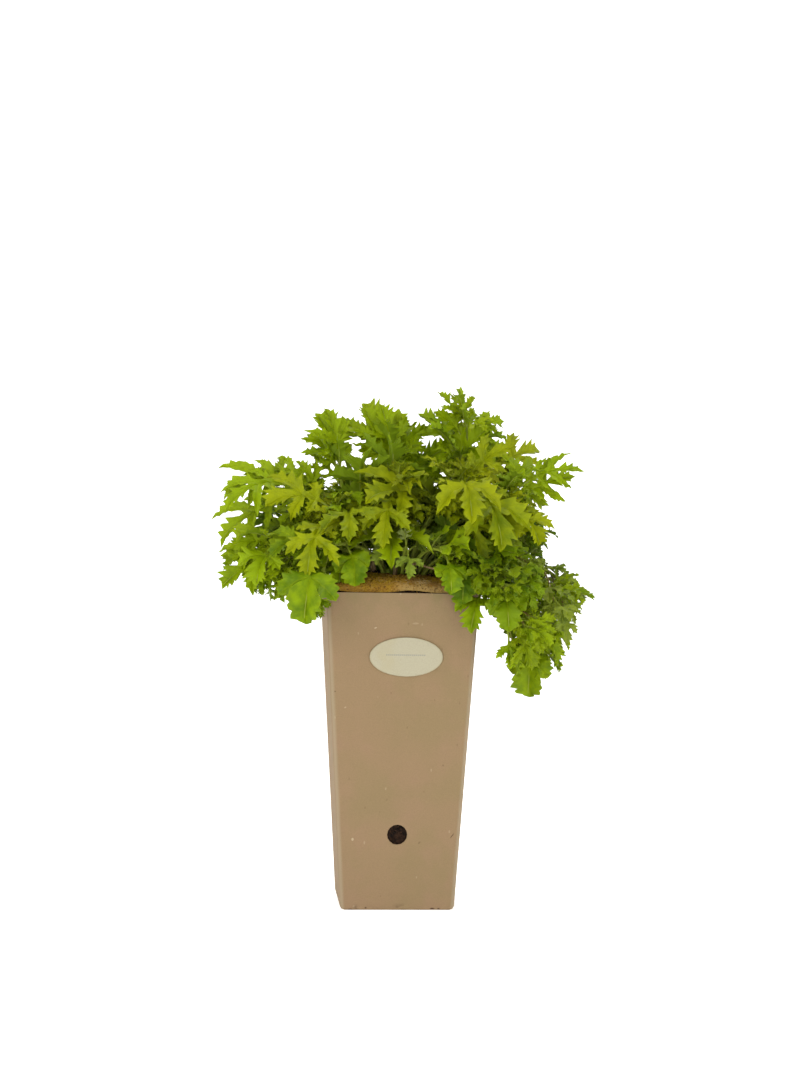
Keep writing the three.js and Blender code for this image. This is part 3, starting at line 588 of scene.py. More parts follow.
# LABEL
labelLook = dict(
    skin=dict(main=shade(161, 154, 129), warm=shade(160, 150, 117), cool=shade(161, 154, 129),
              paleFleck=shade(161, 154, 129), darkFleck=shade(148, 138, 104), flecks=0.2),
    rim=shade(148, 138, 104), rimShare=0.6, ink=shade(84, 100, 108), inkShare=0.6,
    # the middle and half sizes of the oval, and the rule's start, end, height and dots, from that middle
    centre=(2.5, 160), half=(23, 12.3), ruleStart=-13, ruleEnd=12, ruleUp=1.2, ruleHalf=0.55,
    ruleFade=0.3, dot=1.25,
    roughness=0.5, specular=0.5, bump=0.12, relief=0.0002,
)


# Cream paper with a plain dotted rule across it
def paintLabel(tree):
    look = labelLook
    skin = placeGroup(tree, fibreGroup, **look["skin"])
    x, _, z = partsOf(tree, objectPlace(tree))
    fromX = minus(tree, over(tree, x, mm), look["centre"][0])
    fromZ = minus(tree, over(tree, z, mm), look["centre"][1])
    reach = ovalReach(tree, fromX, fromZ, *look["half"])
    colour = blendOf(tree, ramp(tree, reach, 0.86, 1.0, 0, look["rimShare"]), skin["colour"], look["rim"])
    offLine = sizeOf(tree, minus(tree, fromZ, look["ruleUp"]))
    dots = ramp(tree, math2(tree, "SINE", times(tree, fromX, 2 * pi / look["dot"])), -0.5, 0.3)
    line = times(tree, ramp(tree, offLine, look["ruleHalf"] * 0.5, look["ruleHalf"], 1, 0),
                 ramp(tree, fromX, look["ruleStart"], look["ruleStart"] + look["ruleFade"]),
                 ramp(tree, fromX, look["ruleEnd"], look["ruleEnd"] - look["ruleFade"]), dots)
    return blendOf(tree, times(tree, line, look["inkShare"]), colour, look["ink"]), skin["height"]


# MULCH MAT AND COMPOST
fibreMat = dict(
    olive=shade(158, 124, 26), brown=shade(140, 102, 34), tan=shade(164, 136, 82), dark=shade(60, 42, 18),
    wide=90, crumbs=800, ragged=420, drawn=0.25, squashed=1.2, turnOver=5,
    # the torn stretch of the front edge: where it starts and ends, how high it goes and how ragged it is
    tornStart=-8, tornEnd=26, fadeIn=10, fadeOut=8, tornTop=206, tornSoft=0.8, tornRagged=14, tornShare=0.8,
    frontStart=-38, frontEnd=-44, paleShare=0.6, darkShare=0.85,
    roughness=0.9, specular=0.2, bump=0.8, relief=0.0009,
)
earth = dict(dark=shade(19, 13, 9), light=shade(46, 30, 20), chip=shade(92, 62, 40), clods=240, chips=900,
             chipShare=0.6, roughness=0.95, specular=0.15, bump=1.0, relief=0.002)
dryStalk = dict(dark=shade(112, 84, 52), light=shade(186, 160, 116), streaks=260, stretch=(6, 6, 1),
                roughness=0.85, specular=0.5, bump=0.7, relief=0.0006)
strayFibre = dict(wide=130, dark=60, darkShare=0.6, grain=2200, roughness=0.8, specular=0.5, bump=0.4,
                  relief=0.0002)


def paintMat(tree):
    look = fibreMat
    place = objectPlace(tree)
    x, y, z = partsOf(tree, place)
    # the mat is seen at a low angle, so its grain is drawn out towards each of its four edges
    beyond = minus(tree, sizeOf(tree, y), sizeOf(tree, x))
    drawn = addNode(tree, "Mix", data_type="VECTOR")
    feed(tree, drawn.inputs[0], ramp(tree, beyond, -look["turnOver"] * mm, look["turnOver"] * mm))
    feed(tree, drawn.inputs[4], mapped(tree, place, Scale=(look["drawn"], 1, look["squashed"])))
    feed(tree, drawn.inputs[5], mapped(tree, place, Scale=(1, look["drawn"], look["squashed"])))
    grain = drawn.outputs[1]
    crumbs = noiseOf(tree, grain, look["crumbs"], 4, 0.75, 0.3)
    ragged = noiseOf(tree, grain, look["ragged"], 3, 0.7)
    wide = ramp(tree, noiseOf(tree, grain, look["wide"], 3), 0.35, 0.65)
    colour = blendOf(tree, wide, look["olive"], look["brown"])
    # the front edge is torn on the right, and shows its pale inside there
    start, end = look["tornStart"] * mm, look["tornEnd"] * mm
    low = plus(tree, z, times(tree, minus(tree, ragged, 0.5), look["tornRagged"] * mm))
    torn = times(tree, ramp(tree, x, start, start + look["fadeIn"] * mm),
                 ramp(tree, x, end + look["fadeOut"] * mm, end),
                 ramp(tree, low, (look["tornTop"] + look["tornSoft"]) * mm,
                      (look["tornTop"] - look["tornSoft"]) * mm),
                 ramp(tree, y, look["frontStart"] * mm, look["frontEnd"] * mm), look["tornShare"])
    colour = blendOf(tree, torn, colour, look["tan"])
    colour = blendOf(tree, ramp(tree, crumbs, 0.54, 0.66, 0, look["paleShare"]), colour, look["tan"])
    colour = blendOf(tree, ramp(tree, crumbs, 0.46, 0.36, 0, look["darkShare"]), colour, look["dark"])
    return colour, crumbs


def paintEarth(tree):
    place = objectPlace(tree)
    clods = noiseOf(tree, place, earth["clods"], 4, 0.6)
    chips = ramp(tree, noiseOf(tree, place, earth["chips"], 2), 0.62, 0.7, 0, earth["chipShare"])
    colour = blendOf(tree, ramp(tree, clods, 0.35, 0.65), earth["dark"], earth["light"])
    return blendOf(tree, chips, colour, earth["chip"]), clods


def paintDry(tree):
    stretched = mapped(tree, objectPlace(tree), Scale=dryStalk["stretch"])
    streaks = noiseOf(tree, stretched, dryStalk["streaks"], 3)
    return blendOf(tree, ramp(tree, streaks, 0.3, 0.7), dryStalk["dark"], dryStalk["light"]), streaks


def paintFibre(tree):
    look = strayFibre
    place = objectPlace(tree)
    wide = ramp(tree, noiseOf(tree, place, look["wide"], 2), 0.4, 0.6)
    dark = ramp(tree, noiseOf(tree, place, look["dark"], 1), 0.6, 0.7, 0, look["darkShare"])
    colour = blendOf(tree, wide, fibreMat["brown"], fibreMat["tan"])
    return blendOf(tree, dark, colour, fibreMat["dark"]), noiseOf(tree, place, look["grain"], 2)


fibreGroup = makeFibreGroup()
leafGroup = makeLeafGroup()
leafSkins = {name: makeLeafMaterial(name + "_skin", finish, leafGroup)
             for name, finish in leafFinishes.items()}
stalkSkin = finishOf("stalkSkin", stalkLook, paintStalk)
cardSkin = finishOf("pressedCard", card, paintCard)
labelSkin = finishOf("labelPaper", labelLook, paintLabel)
matSkin = finishOf("mulchFibre", fibreMat, paintMat)
fibreSkin = finishOf("looseFibre", strayFibre, paintFibre)
earthSkin = finishOf("compostEarth", earth, paintEarth)
drySkin = finishOf("dryStalk", dryStalk, paintDry)
print("materials are ready")


# POT, LABEL AND COMPOST
# Edges sharper than an angle are rounded a little, so that they catch the light
softEdges = dict(sharpest=60, flat=0.4, segments=2, pot=0.3, label=0.12)


def softenNode(node, name, material):
    bm = copyOf(node)
    bmesh.ops.dissolve_limit(bm, angle_limit=radians(softEdges["flat"]), verts=bm.verts, edges=bm.edges)
    sharpest = radians(softEdges["sharpest"])
    edges = [e for e in bm.edges if len(e.link_faces) == 2 and e.calc_face_angle() > sharpest]
    bmesh.ops.bevel(bm, geom=edges, affect="EDGES", offset=softEdges[node], segments=softEdges["segments"],
                    profile=0.5, material=-1)
    piece = makePiece(name, bm, [material], [node], softEdges["sharpest"])
    weighted = piece.modifiers.new("evenShade", "WEIGHTED_NORMAL")
    weighted.keep_sharp = True


softenNode("pot", "card_pot", cardSkin)
softenNode("label", "oval_label", labelSkin)
nodes["soil"].data.materials.clear()
nodes["soil"].data.materials.append(earthSkin)
print("pot and label are made")


# MULCH MAT
mat = dict(
    half=potSize["rim"] / 2 - 1.2, thickness=3, hole=25.5, dome=8.5, power=2.4, slant=0.3, rimLift=0.1,
    gap=0.35,
    squareness=14, sides=440, rows=36, rowSpread=1.3, underRows=6, inner=0.5, sag=0.4, ragged=0.9, fray=0.3,
    lumps=0.9, grains=0.8, roundEdge=1.9, crumbs=1500, smallCrumb=0.35, largeCrumb=1.15, crumbBand=9,
)
# Stretches of the mat's edge that have lifted: their middle, reach and height
liftedEdges = [(5, -47, 11, 1.5), (-28, 47, 16, 1.2), (47, 20, 15, 1.1)]


def squareReach(half, angle):
    n = mat["squareness"]
    return half / (abs(cos(angle)) ** n + abs(sin(angle)) ** n) ** (1 / n)


# The middle of the mat's thickness
def matHeight(x, y):
    half = mat["half"]
    across = 1 - min(1, abs(x / half)) ** mat["power"]
    along = 1 - min(1, abs(y / half)) ** mat["power"]
    dome = mat["dome"] * math.sqrt(max(across * along, 0)) * (1 - mat["slant"] * (x / half))
    lifted = mat["rimLift"] + sum(
        lift * math.exp(-((x - ex) ** 2 + (y - ey) ** 2) / reach ** 2) for ex, ey, reach, lift in liftedEdges)
    return potSize["height"] + mat["gap"] + mat["thickness"] / 2 + lifted + dome


# The top of the compost, as the part's source has it
def soilHeight(x, y):
    crumbs = 0.5 + 0.5 * sin(x * 0.71 + 2) * cos(y * 0.63 - 1)
    return matHeight(x, y) - mat["thickness"] / 2 - 1.5 - 1.3 * crumbs


# The section of the mat as (share of the way in, side from -1 below to 1 above)
def matSection():
    rows, under = mat["rows"], mat["underRows"]
    section = [(0.0, side) for side in (-1, -0.7, -0.4, -0.1, 0.1, 0.25, 0.4, 0.55, 0.7, 0.85)]
    section += [((i / rows) ** mat["rowSpread"], 1.0) for i in range(rows + 1)]
    section += [(1.0, side) for side in (0.5, 0, -0.5)]
    section += [(1 - i / under, -1.0) for i in range(under)]
    return section


def matHole(angle):
    return mat["hole"] * (1 + 0.07 * sin(3 * angle + 0.6) + 0.05 * sin(7 * angle))


def makeMat():
    bm = bmesh.new()
    section = matSection()

    def placeOf(vert, i, j):
        angle = 2 * pi * (i % mat["sides"]) / mat["sides"]
        share, side = section[j % len(section)]
        flat = flatWay(angle)
        square = squareReach(mat["half"], angle)
        # the upper edge is rounded, so the top starts further in
        outer = square - mat["roundEdge"] * max(0, side) ** 2
        outer -= mat["inner"] + mat["fray"] * noise.noise(Vector((angle * 9, 0, 3)))
        place = flat * lerp(outer, matHole(angle), share)
        lumps = noise.fractal(place * 0.16 + Vector((0, 0, side * 0.4)), 0.9, 2.2, 3)
        grains = noise.fractal(Vector((place.x, place.y, share * 20 + side * 3)) * 0.7, 0.8, 2.1, 3)
        # the lower edge lies flat on the pot's rim
        ground = place if side > 0 or share > 0 else flat * square
        height = matHeight(ground.x, ground.y) + side * mat["thickness"] / 2
        if share == 0 and side < 0:
            height -= mat["sag"]
        elif share == 1:
            place += flat * mat["ragged"] * noise.noise(Vector((angle * 9, side * 1.7, 3)))
        if side > -0.9 and share < 0.2:
            place += flat * 0.5 * mat["grains"] * grains
        if side > 0:
            inward = min(1, 0.35 + share * 5)
            height += (mat["lumps"] * lumps + mat["grains"] * grains) * inward * side - 0.2
        return Vector((place.x, place.y, height))

    verts = addGrid(bm, mat["sides"], len(section), placeOf)
    bmesh.ops.remove_doubles(bm, verts=verts, dist=merge["tube"])
    bmesh.ops.recalc_face_normals(bm, faces=bm.faces)
    makePiece("fibre_mat", bm, [matSkin], ["mulch_mat"])


makeMat()
print("mulch mat is made")


# LEAVES AND STEMS
# A kind of leaf, in shares of its length: where its stalk ends, half the width of the web between its lobes
# and how far its bays are set forward, its side lobes from the foot up, and the lobe at its tip
leafKinds = dict(
    cut=dict(
        stalk=0.27, web=0.05, bay=0.02,
        lobes=[dict(at=0.34, neck=0.3, wing=0.014, angle=80, length=0.28, width=0.078, edge="toothed"),
               dict(at=0.5, neck=0.45, angle=62, length=0.44, width=0.1, edge="toothed")],
        tip=dict(at=0.6, width=0.13, edge="crown")),
    three=dict(
        stalk=0.34, web=0.08, bay=0.05,
        lobes=[dict(at=0.45, neck=0.4, wing=0.018, angle=66, length=0.42, width=0.125, edge="toothed")],
        tip=dict(at=0.55, width=0.15, edge="crown")),
    fan=dict(
        stalk=0.34, web=0.15, bay=0.09,
        lobes=[dict(at=0.45, neck=0.365, wing=0.022, angle=66, length=0.39, width=0.16, edge="blunt")],
        tip=dict(at=0.54, width=0.22, edge="bluntCrown")),
    sprig=dict(
        stalk=0.3, web=0.035, bay=0.01,
        lobes=[dict(at=0.46, neck=0.42, wing=0.03, angle=58, length=0.34, width=0.07, edge="slim")],
        tip=dict(at=0.55, width=0.095, edge="slimCrown")),
    lace=dict(
        stalk=0.3, web=0.04, bay=0.02,
        lobes=[dict(at=0.38, neck=0.34, wing=0.03, angle=74, length=0.26, width=0.055, edge="slim"),
               dict(at=0.53, neck=0.48, angle=60, length=0.36, width=0.07, edge="slim")],
        tip=dict(at=0.63, width=0.1, edge="slimCrown")),
    arch=dict(
        stalk=0.3, web=0.03, bay=0.01,
        lobes=[dict(at=0.4, neck=0.37, wing=0.014, angle=70, length=0.3, width=0.055, edge="narrow"),
               dict(at=0.54, neck=0.5, angle=54, length=0.42, width=0.07, edge="narrow")],
        tip=dict(at=0.63, width=0.085, edge="crown")),
)
# The part has the side lobes of this kind longer and more spread
partFan = dict(leafKinds["fan"], lobes=[dict(leafKinds["fan"]["lobes"][0], angle=78, length=0.42)])
partKinds = dict(leafKinds, fan=partFan)
# The edge of a lobe: how far its rows slant towards its tip, and the rows as the share of the way along its
# vein and the widths there on its near and far side, in half widths. A tip is alike on both sides. The rows
# in between are only in the large leaves.
lobeEdges = dict(
    toothed=dict(
        slant=0.95,
        rows=[(0.04, 0.4, 0.34), (0.21, 1.08, 0.76), (0.31, 0.64, 0.52), (0.43, 1.06, 0.94),
              (0.53, 0.56, 0.5), (0.64, 0.8, 0.76), (0.73, 0.36, 0.34), (1, 0, 0)],
        between=[(0.13, 0.66, 0.5), (0.37, 0.84, 0.7), (0.58, 0.68, 0.62), (0.82, 0.28, 0.26)]),
    slim=dict(
        slant=0.95,
        rows=[(0.1, 0.4, 0.36), (0.34, 1.08, 0.84), (0.45, 0.58, 0.5), (0.54, 0.98, 0.88), (0.65, 0.4, 0.38),
              (1, 0, 0)],
        between=[(0.24, 0.6, 0.5), (0.76, 0.3, 0.28)]),
    narrow=dict(
        slant=0.8,
        rows=[(0.1, 0.55, 0.5), (0.2, 0.95, 0.6), (0.27, 0.74, 0.58), (0.36, 1.04, 0.62), (0.43, 0.78, 0.6),
              (0.52, 0.98, 0.56), (0.59, 0.66, 0.48), (0.68, 0.72, 0.4), (0.75, 0.42, 0.3), (1, 0, 0)],
        between=[(0.85, 0.32, 0.24)]),
    blunt=dict(
        slant=0.4,
        rows=[(0.06, 0.66, 0.52), (0.25, 1.16, 0.8), (0.33, 0.88, 0.68), (0.47, 1.12, 0.98), (0.55, 0.8, 0.7),
              (0.68, 0.84, 0.78), (0.75, 0.5, 0.46), (0.83, 0.46, 0.42), (1, 0, 0)],
        between=[(0.16, 0.92, 0.66), (0.4, 1.06, 0.86), (0.61, 0.9, 0.82)]),
    crown=dict(
        slant=0.95,
        rows=[(0.04, 0.46), (0.2, 1.08), (0.3, 0.66), (0.42, 1.02), (0.52, 0.54), (0.63, 0.76),
              (0.72, 0.34), (1, 0)],
        between=[(0.13, 0.7), (0.36, 0.82), (0.57, 0.64), (0.82, 0.26)]),
    bluntCrown=dict(
        slant=0.4,
        rows=[(0.08, 0.64), (0.29, 1.08), (0.37, 0.84), (0.51, 1.02), (0.6, 0.7), (0.73, 0.74), (0.81, 0.42),
              (0.88, 0.36), (1, 0)],
        between=[(0.19, 0.88), (0.44, 0.98), (0.66, 0.8)]),
    slimCrown=dict(
        slant=0.95,
        rows=[(0.1, 0.5), (0.2, 1.08), (0.32, 0.58), (0.44, 0.94), (0.55, 0.42), (0.66, 0.5),
              (0.76, 0.2), (1, 0)],
        between=[]),
)
blade = dict(
    curl=radians(24), thickness=0.36, thinEdge=0.55, columns=(0, 0.16, 0.55, 1),
    # how unlike each other its teeth, webs and breadths are
    uneven=0.2, shift=0.035, webSpread=0.5, broad=0.34,
    # where the blade starts on its stalk, and the bay between two lobes
    stalkStart=0.86, startHalf=0.5, stalkHalf=0.95, leastAhead=0.3, bayOut=0.5, bayIn=0.12,
    # how the tip and the lobes hang and twist
    tipDrop=-0.12, tipSway=0.24, lobeDrop=-0.15, lobeSway=0.4, lobeTwist=0.6,
    # how each lobe folds along its vein, and how the edge and the whole blade wave
    fold=0.36, foldBefore=3, foldRun=6, ruffle=0.9, ruffleRate=2.1, wave=0.5, waveRate=0.55,
    waveFrom=8, halfTurn=2,
)
cadBlade = 0.9
leafRule = dict(
    golden=137.5, lowestOpens=68, upperOpens=40, lastOpens=12, outwardRoll=32, steepRoll=38, steepestFall=-88,
    backHalf=12, lastAt=0.985, seeds=100000, stalkShare=0.2, leastDroop=0.05, middleFold=0.22,
    curl=0.55, wave=3, waveTurn=0.22,
)
stemRule = dict(
    base=1.35, tip=0.85, steps=7, rootShare=0.15, rootDepth=13, rings=30, sides=10, swell=0.28,
    swellReach=0.018, ridges=5, ridge=0.05, wayLength=100, redFoot=1.1,
)
# A leaf's stalk in millimetres and shares: how deep it starts, where it ends on the rib, how it thins, how
# flat it is, and how it dips under the blade
stalkForm = dict(sunk=-1.2, end=0.93, neck=0.78, thin=0.16, flat=0.85, dip=0.95, clear=0.1,
                 dipFrom=0.85, dipRun=0.3)

# The leafy stems as the part's source has them
stemFields = ("name", "root", "tip", "rise", "lean", "bow", "leaves", "size", "top", "droop", "lowest",
              "turn", "swing", "kind", "green")
stemRows = [
    ("top_right", (6, 3), (44, 2, 306), 60, 0.95, -44, 6, 60, 0.6, 45, 0.56, 80, 0, "cut", "fresh"),
    ("top_left", (-8, 1.5), (-38, -2, 272), 50, 0.8, -30, 6, 68, 0.85, 40, 0.5, 250, -10, "cut", "fresh"),
    ("top_centre", (-2, 3.5), (-6, 2, 276), 50, 0.8, -32, 6, 68, 0.85, 38, 0.5, 20, 0, "cut", "fresh"),
    ("top_mid", (-4, -4.5), (-20, -16, 268), 50, 0.75, -20, 4, 62, 0.9, 60, 0.6, 20, 40, "cut", "bright"),
    ("upper_right", (11.5, 2.5), (58, 2, 276), 50, 0.8, -30, 5, 68, 0.85, 45, 0.5, 150, 0, "cut", "bright"),
    ("reach_right", (12, -3), (72, -12, 264), 45, 0.7, -26, 4, 64, 0.85, 55, 0.55, 250, -10, "cut", "fresh"),
    ("front_centre", (-1, -10.5), (-3, -28, 268), 45, 0.7, 0, 4, 64, 0.95, 90, 0.5, 80, 15, "cut", "bright"),
    ("front_right", (5, -11), (40, -32, 268), 45, 0.7, 0, 5, 68, 1.05, 100, 0.5, 120, -40, "cut", "bright"),
    ("right_front", (10, -8.5), (66, -28, 254), 45, 0.7, 0, 3, 60, 1, 85, 0.55, 40, -35, "cut", "bright"),
    ("reach_left", (-13, -0.5), (-60, -10, 262), 45, 0.7, -12, 5, 64, 0.95, 90, 0.45, 100, 5, "cut", "fresh"),
    ("left_front", (-8, -8), (-46, -34, 248), 45, 0.7, 2, 5, 60, 1, 90, 0.45, 70, 30, "cut", "bright"),
    ("left_low", (-15.5, -6.5), (-76, -24, 226), 40, 0.7, 6, 4, 50, 1, 85, 0.45, 0, 30, "three", "fresh"),
    ("front_left", (-8, -14), (-52, -46, 226), 38, 0.7, 8, 2, 50, 1.1, 75, 0.68, 330, 45, "fan", "fresh"),
    ("front_small", (1, -17), (2, -42, 228), 30, 0.7, 2, 3, 30, 1, 80, 0.5, 10, 0, "three", "grey"),
    ("front_low", (6, -16.5), (26, -50, 224), 36, 0.7, 8, 2, 42, 0.95, 70, 0.7, 330, -20, "fan", "fresh"),
    ("over_corner", (11.8, -12.2), (62, -50, 206), 40, 0.7, 24, 4, 44, 0.95, 60, 0.45, 100, -30, "fan", "deep"),
    ("trail_right", (15.3, -4.8), (86, -30, 176), 44, 0.95, 54, 5, 50, 0.95, 35, 0.45, 20, -30, "fan", "fresh"),
    ("trail_low", (13.8, -8.6), (66, -48, 178), 42, 0.95, 44, 4, 46, 1, 35, 0.55, 60, -20, "three", "fresh"),
    ("trail_grey", (17, -1), (104, -14, 206), 42, 0.8, 26, 5, 40, 0.9, 50, 0.4, 70, -20, "three", "grey"),
    ("sprig_right", (17, 3.5), (94, 12, 240), 42, 0.7, 4, 4, 30, 0.8, 40, 0.45, 0, 0, "sprig", "deep"),
    ("back_right", (8, 9), (44, 38, 264), 45, 0.7, -8, 4, 64, 0.9, 75, 0.5, 210, 20, "cut", "fresh"),
    ("back", (0.5, 11), (-2, 44, 266), 45, 0.7, -6, 4, 64, 0.9, 85, 0.5, 40, 0, "cut", "fresh"),
    ("back_left", (-7, 9), (-44, 36, 262), 40, 0.7, -6, 4, 64, 0.9, 80, 0.5, 100, -20, "cut", "bright"),
    ("back_low_left", (-12.5, 11.5), (-58, 52, 228), 40, 0.7, 8, 3, 48, 1, 75, 0.5, 0, -30, "fan", "deep"),
    ("back_low", (2, 17), (8, 58, 226), 38, 0.7, 8, 3, 48, 1, 75, 0.5, 60, 0, "fan", "fresh"),
    ("back_low_right", (13, 11.5), (64, 50, 228), 40, 0.7, 8, 3, 48, 1, 75, 0.5, 300, 30, "three", "deep"),
    ("left_back", (-16.5, 4.5), (-74, 22, 240), 42, 0.7, 4, 4, 54, 0.9, 80, 0.45, 250, -20, "cut", "deep"),
]
stems = [dict(zip(stemFields, row)) for row in stemRows]


# A stem's centre line: a Bezier curve, and the bends of the part's own straight stretches
def stemLine(stem):
    rootX, rootY = stem["root"]
    foot = Vector((rootX, rootY, soilHeight(rootX, rootY) - stemRule["rootDepth"]))
    tip = Vector(stem["tip"])
    late = foot.lerp(tip, stem["lean"])
    late.z = tip.z + stem["bow"]
    steps = stemRule["steps"]
    shares = [0] + [lerp(stemRule["rootShare"], 1, i / (steps - 1)) for i in range(steps)]
    heading = math.atan2(tip.y - foot.y, tip.x - foot.x)
    return dict(points=(foot, foot + Vector((0, 0, stem["rise"])), late, tip), shares=shares,
                side=Vector((-sin(heading), cos(heading), 0)))


def curvePoint(line, t):
    a, b, c, d = line["points"]
    s = 1 - t
    return a * s ** 3 + b * (3 * s * s * t) + c * (3 * s * t * t) + d * t ** 3


def curveTangent(line, t):
    a, b, c, d = line["points"]
    s = 1 - t
    return ((b - a) * (s * s) + (c - b) * (2 * s * t) + (d - c) * (t * t)).normalized()


def bentPoint(line, share):
    shares = line["shares"]
    k = min(max(i for i, s in enumerate(shares) if s <= share), len(shares) - 2)
    between = (share - shares[k]) / (shares[k + 1] - shares[k])
    return curvePoint(line, shares[k]).lerp(curvePoint(line, shares[k + 1]), between)


# The direction in which a leaf or shoot leaves a line, turned round it and opened away from it
def openedWay(line, share, turn, opened):
    tangent = curveTangent(line, share)
    upper = tangent.cross(line["side"])
    return (tangent * cos(opened) + line["side"] * (cos(turn) * sin(opened))
            + upper * (sin(turn) * sin(opened)))


# How far a leaf is rolled round its rib to face away from the pot, in degrees
def facedRoll(foot, heading, elevation):
    towards = cos(heading) if foot.y < leafRule["backHalf"] else -cos(heading)
    return towards * (leafRule["outwardRoll"] + leafRule["steepRoll"] * max(0, sin(elevation)) ** 2)


def elevationOf(way):
    return math.asin(clamp(way.z, -1, 1))


# The leaves of one stem, drawn in the order of the part's source
def leavesOf(stem, line, seed):
    draws = drawsFrom(seed)
    leaves = []
    for i in range(stem["leaves"]):
        last = i == stem["leaves"] - 1
        rank = i / (stem["leaves"] - 1)
        share = leafRule["lastAt"] if last else lerp(stem["lowest"], 1, rank)
        turn = radians(stem["turn"] + leafRule["golden"] * i + jitter(draws, 16))
        opens = leafRule["lastOpens"] if last else lerp(leafRule["lowestOpens"], leafRule["upperOpens"], rank)
        start = openedWay(line, share, turn, radians(opens + jitter(draws, 10)))
        heading = math.atan2(start.y, start.x) + radians(stem["swing"] if last else 0)
        foot = bentPoint(line, share)
        elevation = elevationOf(start)
        leaf = dict(kind=partKinds[stem["kind"]], foot=foot, heading=heading, elevation=elevation,
                    share=share)
        leaf["length"] = stem["size"] * lerp(1, stem["top"], rank) * (1 + jitter(draws, 0.16))
        leaf["droop"] = radians(stem["droop"] * (1 + jitter(draws, 0.4)))
        leaf["roll"] = radians(facedRoll(foot, heading, elevation) + jitter(draws, 30))
        leaf["fold"] = leafRule["middleFold"] + jitter(draws, 0.16)
        leaf["phase"] = 2 * pi * next(draws)
        leaf["seed"] = 1 + math.floor(leafRule["seeds"] * next(draws))
        leaves.append(leaf)
    return leaves


# A leaf turned, lifted and sized
def setLeaf(leaf, turn=0.0, lift=0.0, shrink=1.0):
    length = leaf["length"] * shrink
    elevation = leaf["elevation"] + radians(lift)
    least = leafRule["leastDroop"]
    most = elevation - radians(leafRule["steepestFall"])
    droop = clamp(leaf["droop"], least, max(most, least))
    stalk = leaf["kind"]["stalk"] * length
    return dict(leaf, heading=leaf["heading"] + radians(turn), elevation=elevation, length=length,
                stalk=stalk, stalkBend=leafRule["stalkShare"] * droop / stalk,
                bladeBend=(1 - leafRule["stalkShare"]) * droop / (length - stalk),
                curl=leafRule["curl"] / length, wave=leafRule["wave"])


# Where a flat point of a leaf lies once the leaf is set on its stem
def leafPoint(leaf, x, y, lift):
    elevation, stalkBend, bladeBend = leaf["elevation"], leaf["stalkBend"], leaf["bladeBend"]
    middle = elevation - stalkBend * min(x, leaf["stalk"])
    end = middle - bladeBend * max(x - leaf["stalk"], 0)
    forward = (sin(elevation) - sin(middle)) / stalkBend + (sin(middle) - sin(end)) / bladeBend
    up = (cos(middle) - cos(elevation)) / stalkBend + (cos(end) - cos(middle)) / bladeBend
    ahead = flatWay(leaf["heading"])
    side = Vector((-ahead.y, ahead.x, 0))
    top = Vector((0, 0, cos(end))) - ahead * sin(end)
    turn = leaf["roll"] * min(1, x / leaf["stalk"])
    across = side * cos(turn) + top * sin(turn)
    out = top * cos(turn) - side * sin(turn)
    far = abs(y)
    wave = leaf["wave"] * far / leaf["length"] * sin(x * leafRule["waveTurn"] + leaf["phase"])
    height = lift + leaf["fold"] * far - leaf["curl"] * far * far + wave
    return leaf["foot"] + ahead * forward + Vector((0, 0, up)) + across * y + out * height


# Each lobe of one half of a leaf with its own angle and reach, and the spread of its end
def halfDraws(kind, length, draws):
    lobes = []
    for lobe in kind["lobes"]:
        angle = radians(lobe["angle"] + jitter(draws, 10))
        reach = length * lobe["length"] * (1 + jitter(draws, 0.24))
        lobes.append(dict(lobe, angle=angle, reach=reach))
    return lobes, length * kind["tip"]["width"] * (1 + jitter(draws, 0.2))


def lobePlace(length, lobe, share, across):
    middle = lobe["angle"] - 0.5 * blade["curl"] * share
    end = lobe["angle"] - blade["curl"] * share
    half = length * lobe["width"]
    return Vector((length * lobe["at"] + share * lobe["reach"] * cos(middle) - across * half * sin(end),
                   share * lobe["reach"] * sin(middle) + across * half * cos(end)))


# The direction in which a lobe's vein runs
def lobeWay(lobe, share):
    angle = lobe["angle"] - blade["curl"] * share
    return Vector((cos(angle), sin(angle)))


# Which of the part's ways to set a leaf it was built with: the one whose points the CAD node has
turns = [0, 12, -12, 24, -24, 38, -38, 54, -54]
lifts = [0, 12, -12, 26, -26, 42, -42]
bends = sorted(((turn, lift) for turn in turns for lift in lifts), key=lambda way: abs(way[0]) + abs(way[1]))
match = dict(near=0.15, share=0.6, shrinks=(1, 0.8, 0.62))


def settledLeaf(leaf, tree):
    for shrink in match["shrinks"]:
        length = leaf["length"] * shrink
        draws = drawsFrom(leaf["seed"])
        ends = [(length, 0.0)]
        for side in (1, -1):
            for lobe in halfDraws(leaf["kind"], length, draws)[0]:
                place = lobePlace(length, lobe, 1, 0)
                ends.append((place.x, side * place.y))
        for turn, lift in bends:
            found = setLeaf(leaf, turn, lift, shrink)
            hits = 0
            for i, (x, y) in enumerate(ends):
                for face in (cadBlade / 2, -cadBlade / 2):
                    hits += tree.find(leafPoint(found, x, y, face))[2] < match["near"]
                if i == 0 and hits == 0:
                    break
            if hits >= match["share"] * 2 * len(ends):
                return found
    return None


def treeOf(node):
    verts = nodes[node].data.vertices
    tree = KDTree(len(verts))
    for i, vert in enumerate(verts):
        tree.insert(vert.co / mm, i)
    tree.balance()
    return tree


def rowsOf(edge, plain):
    rows = lobeEdges[edge]["rows"]
    return rows if plain else sorted(rows + lobeEdges[edge]["between"])


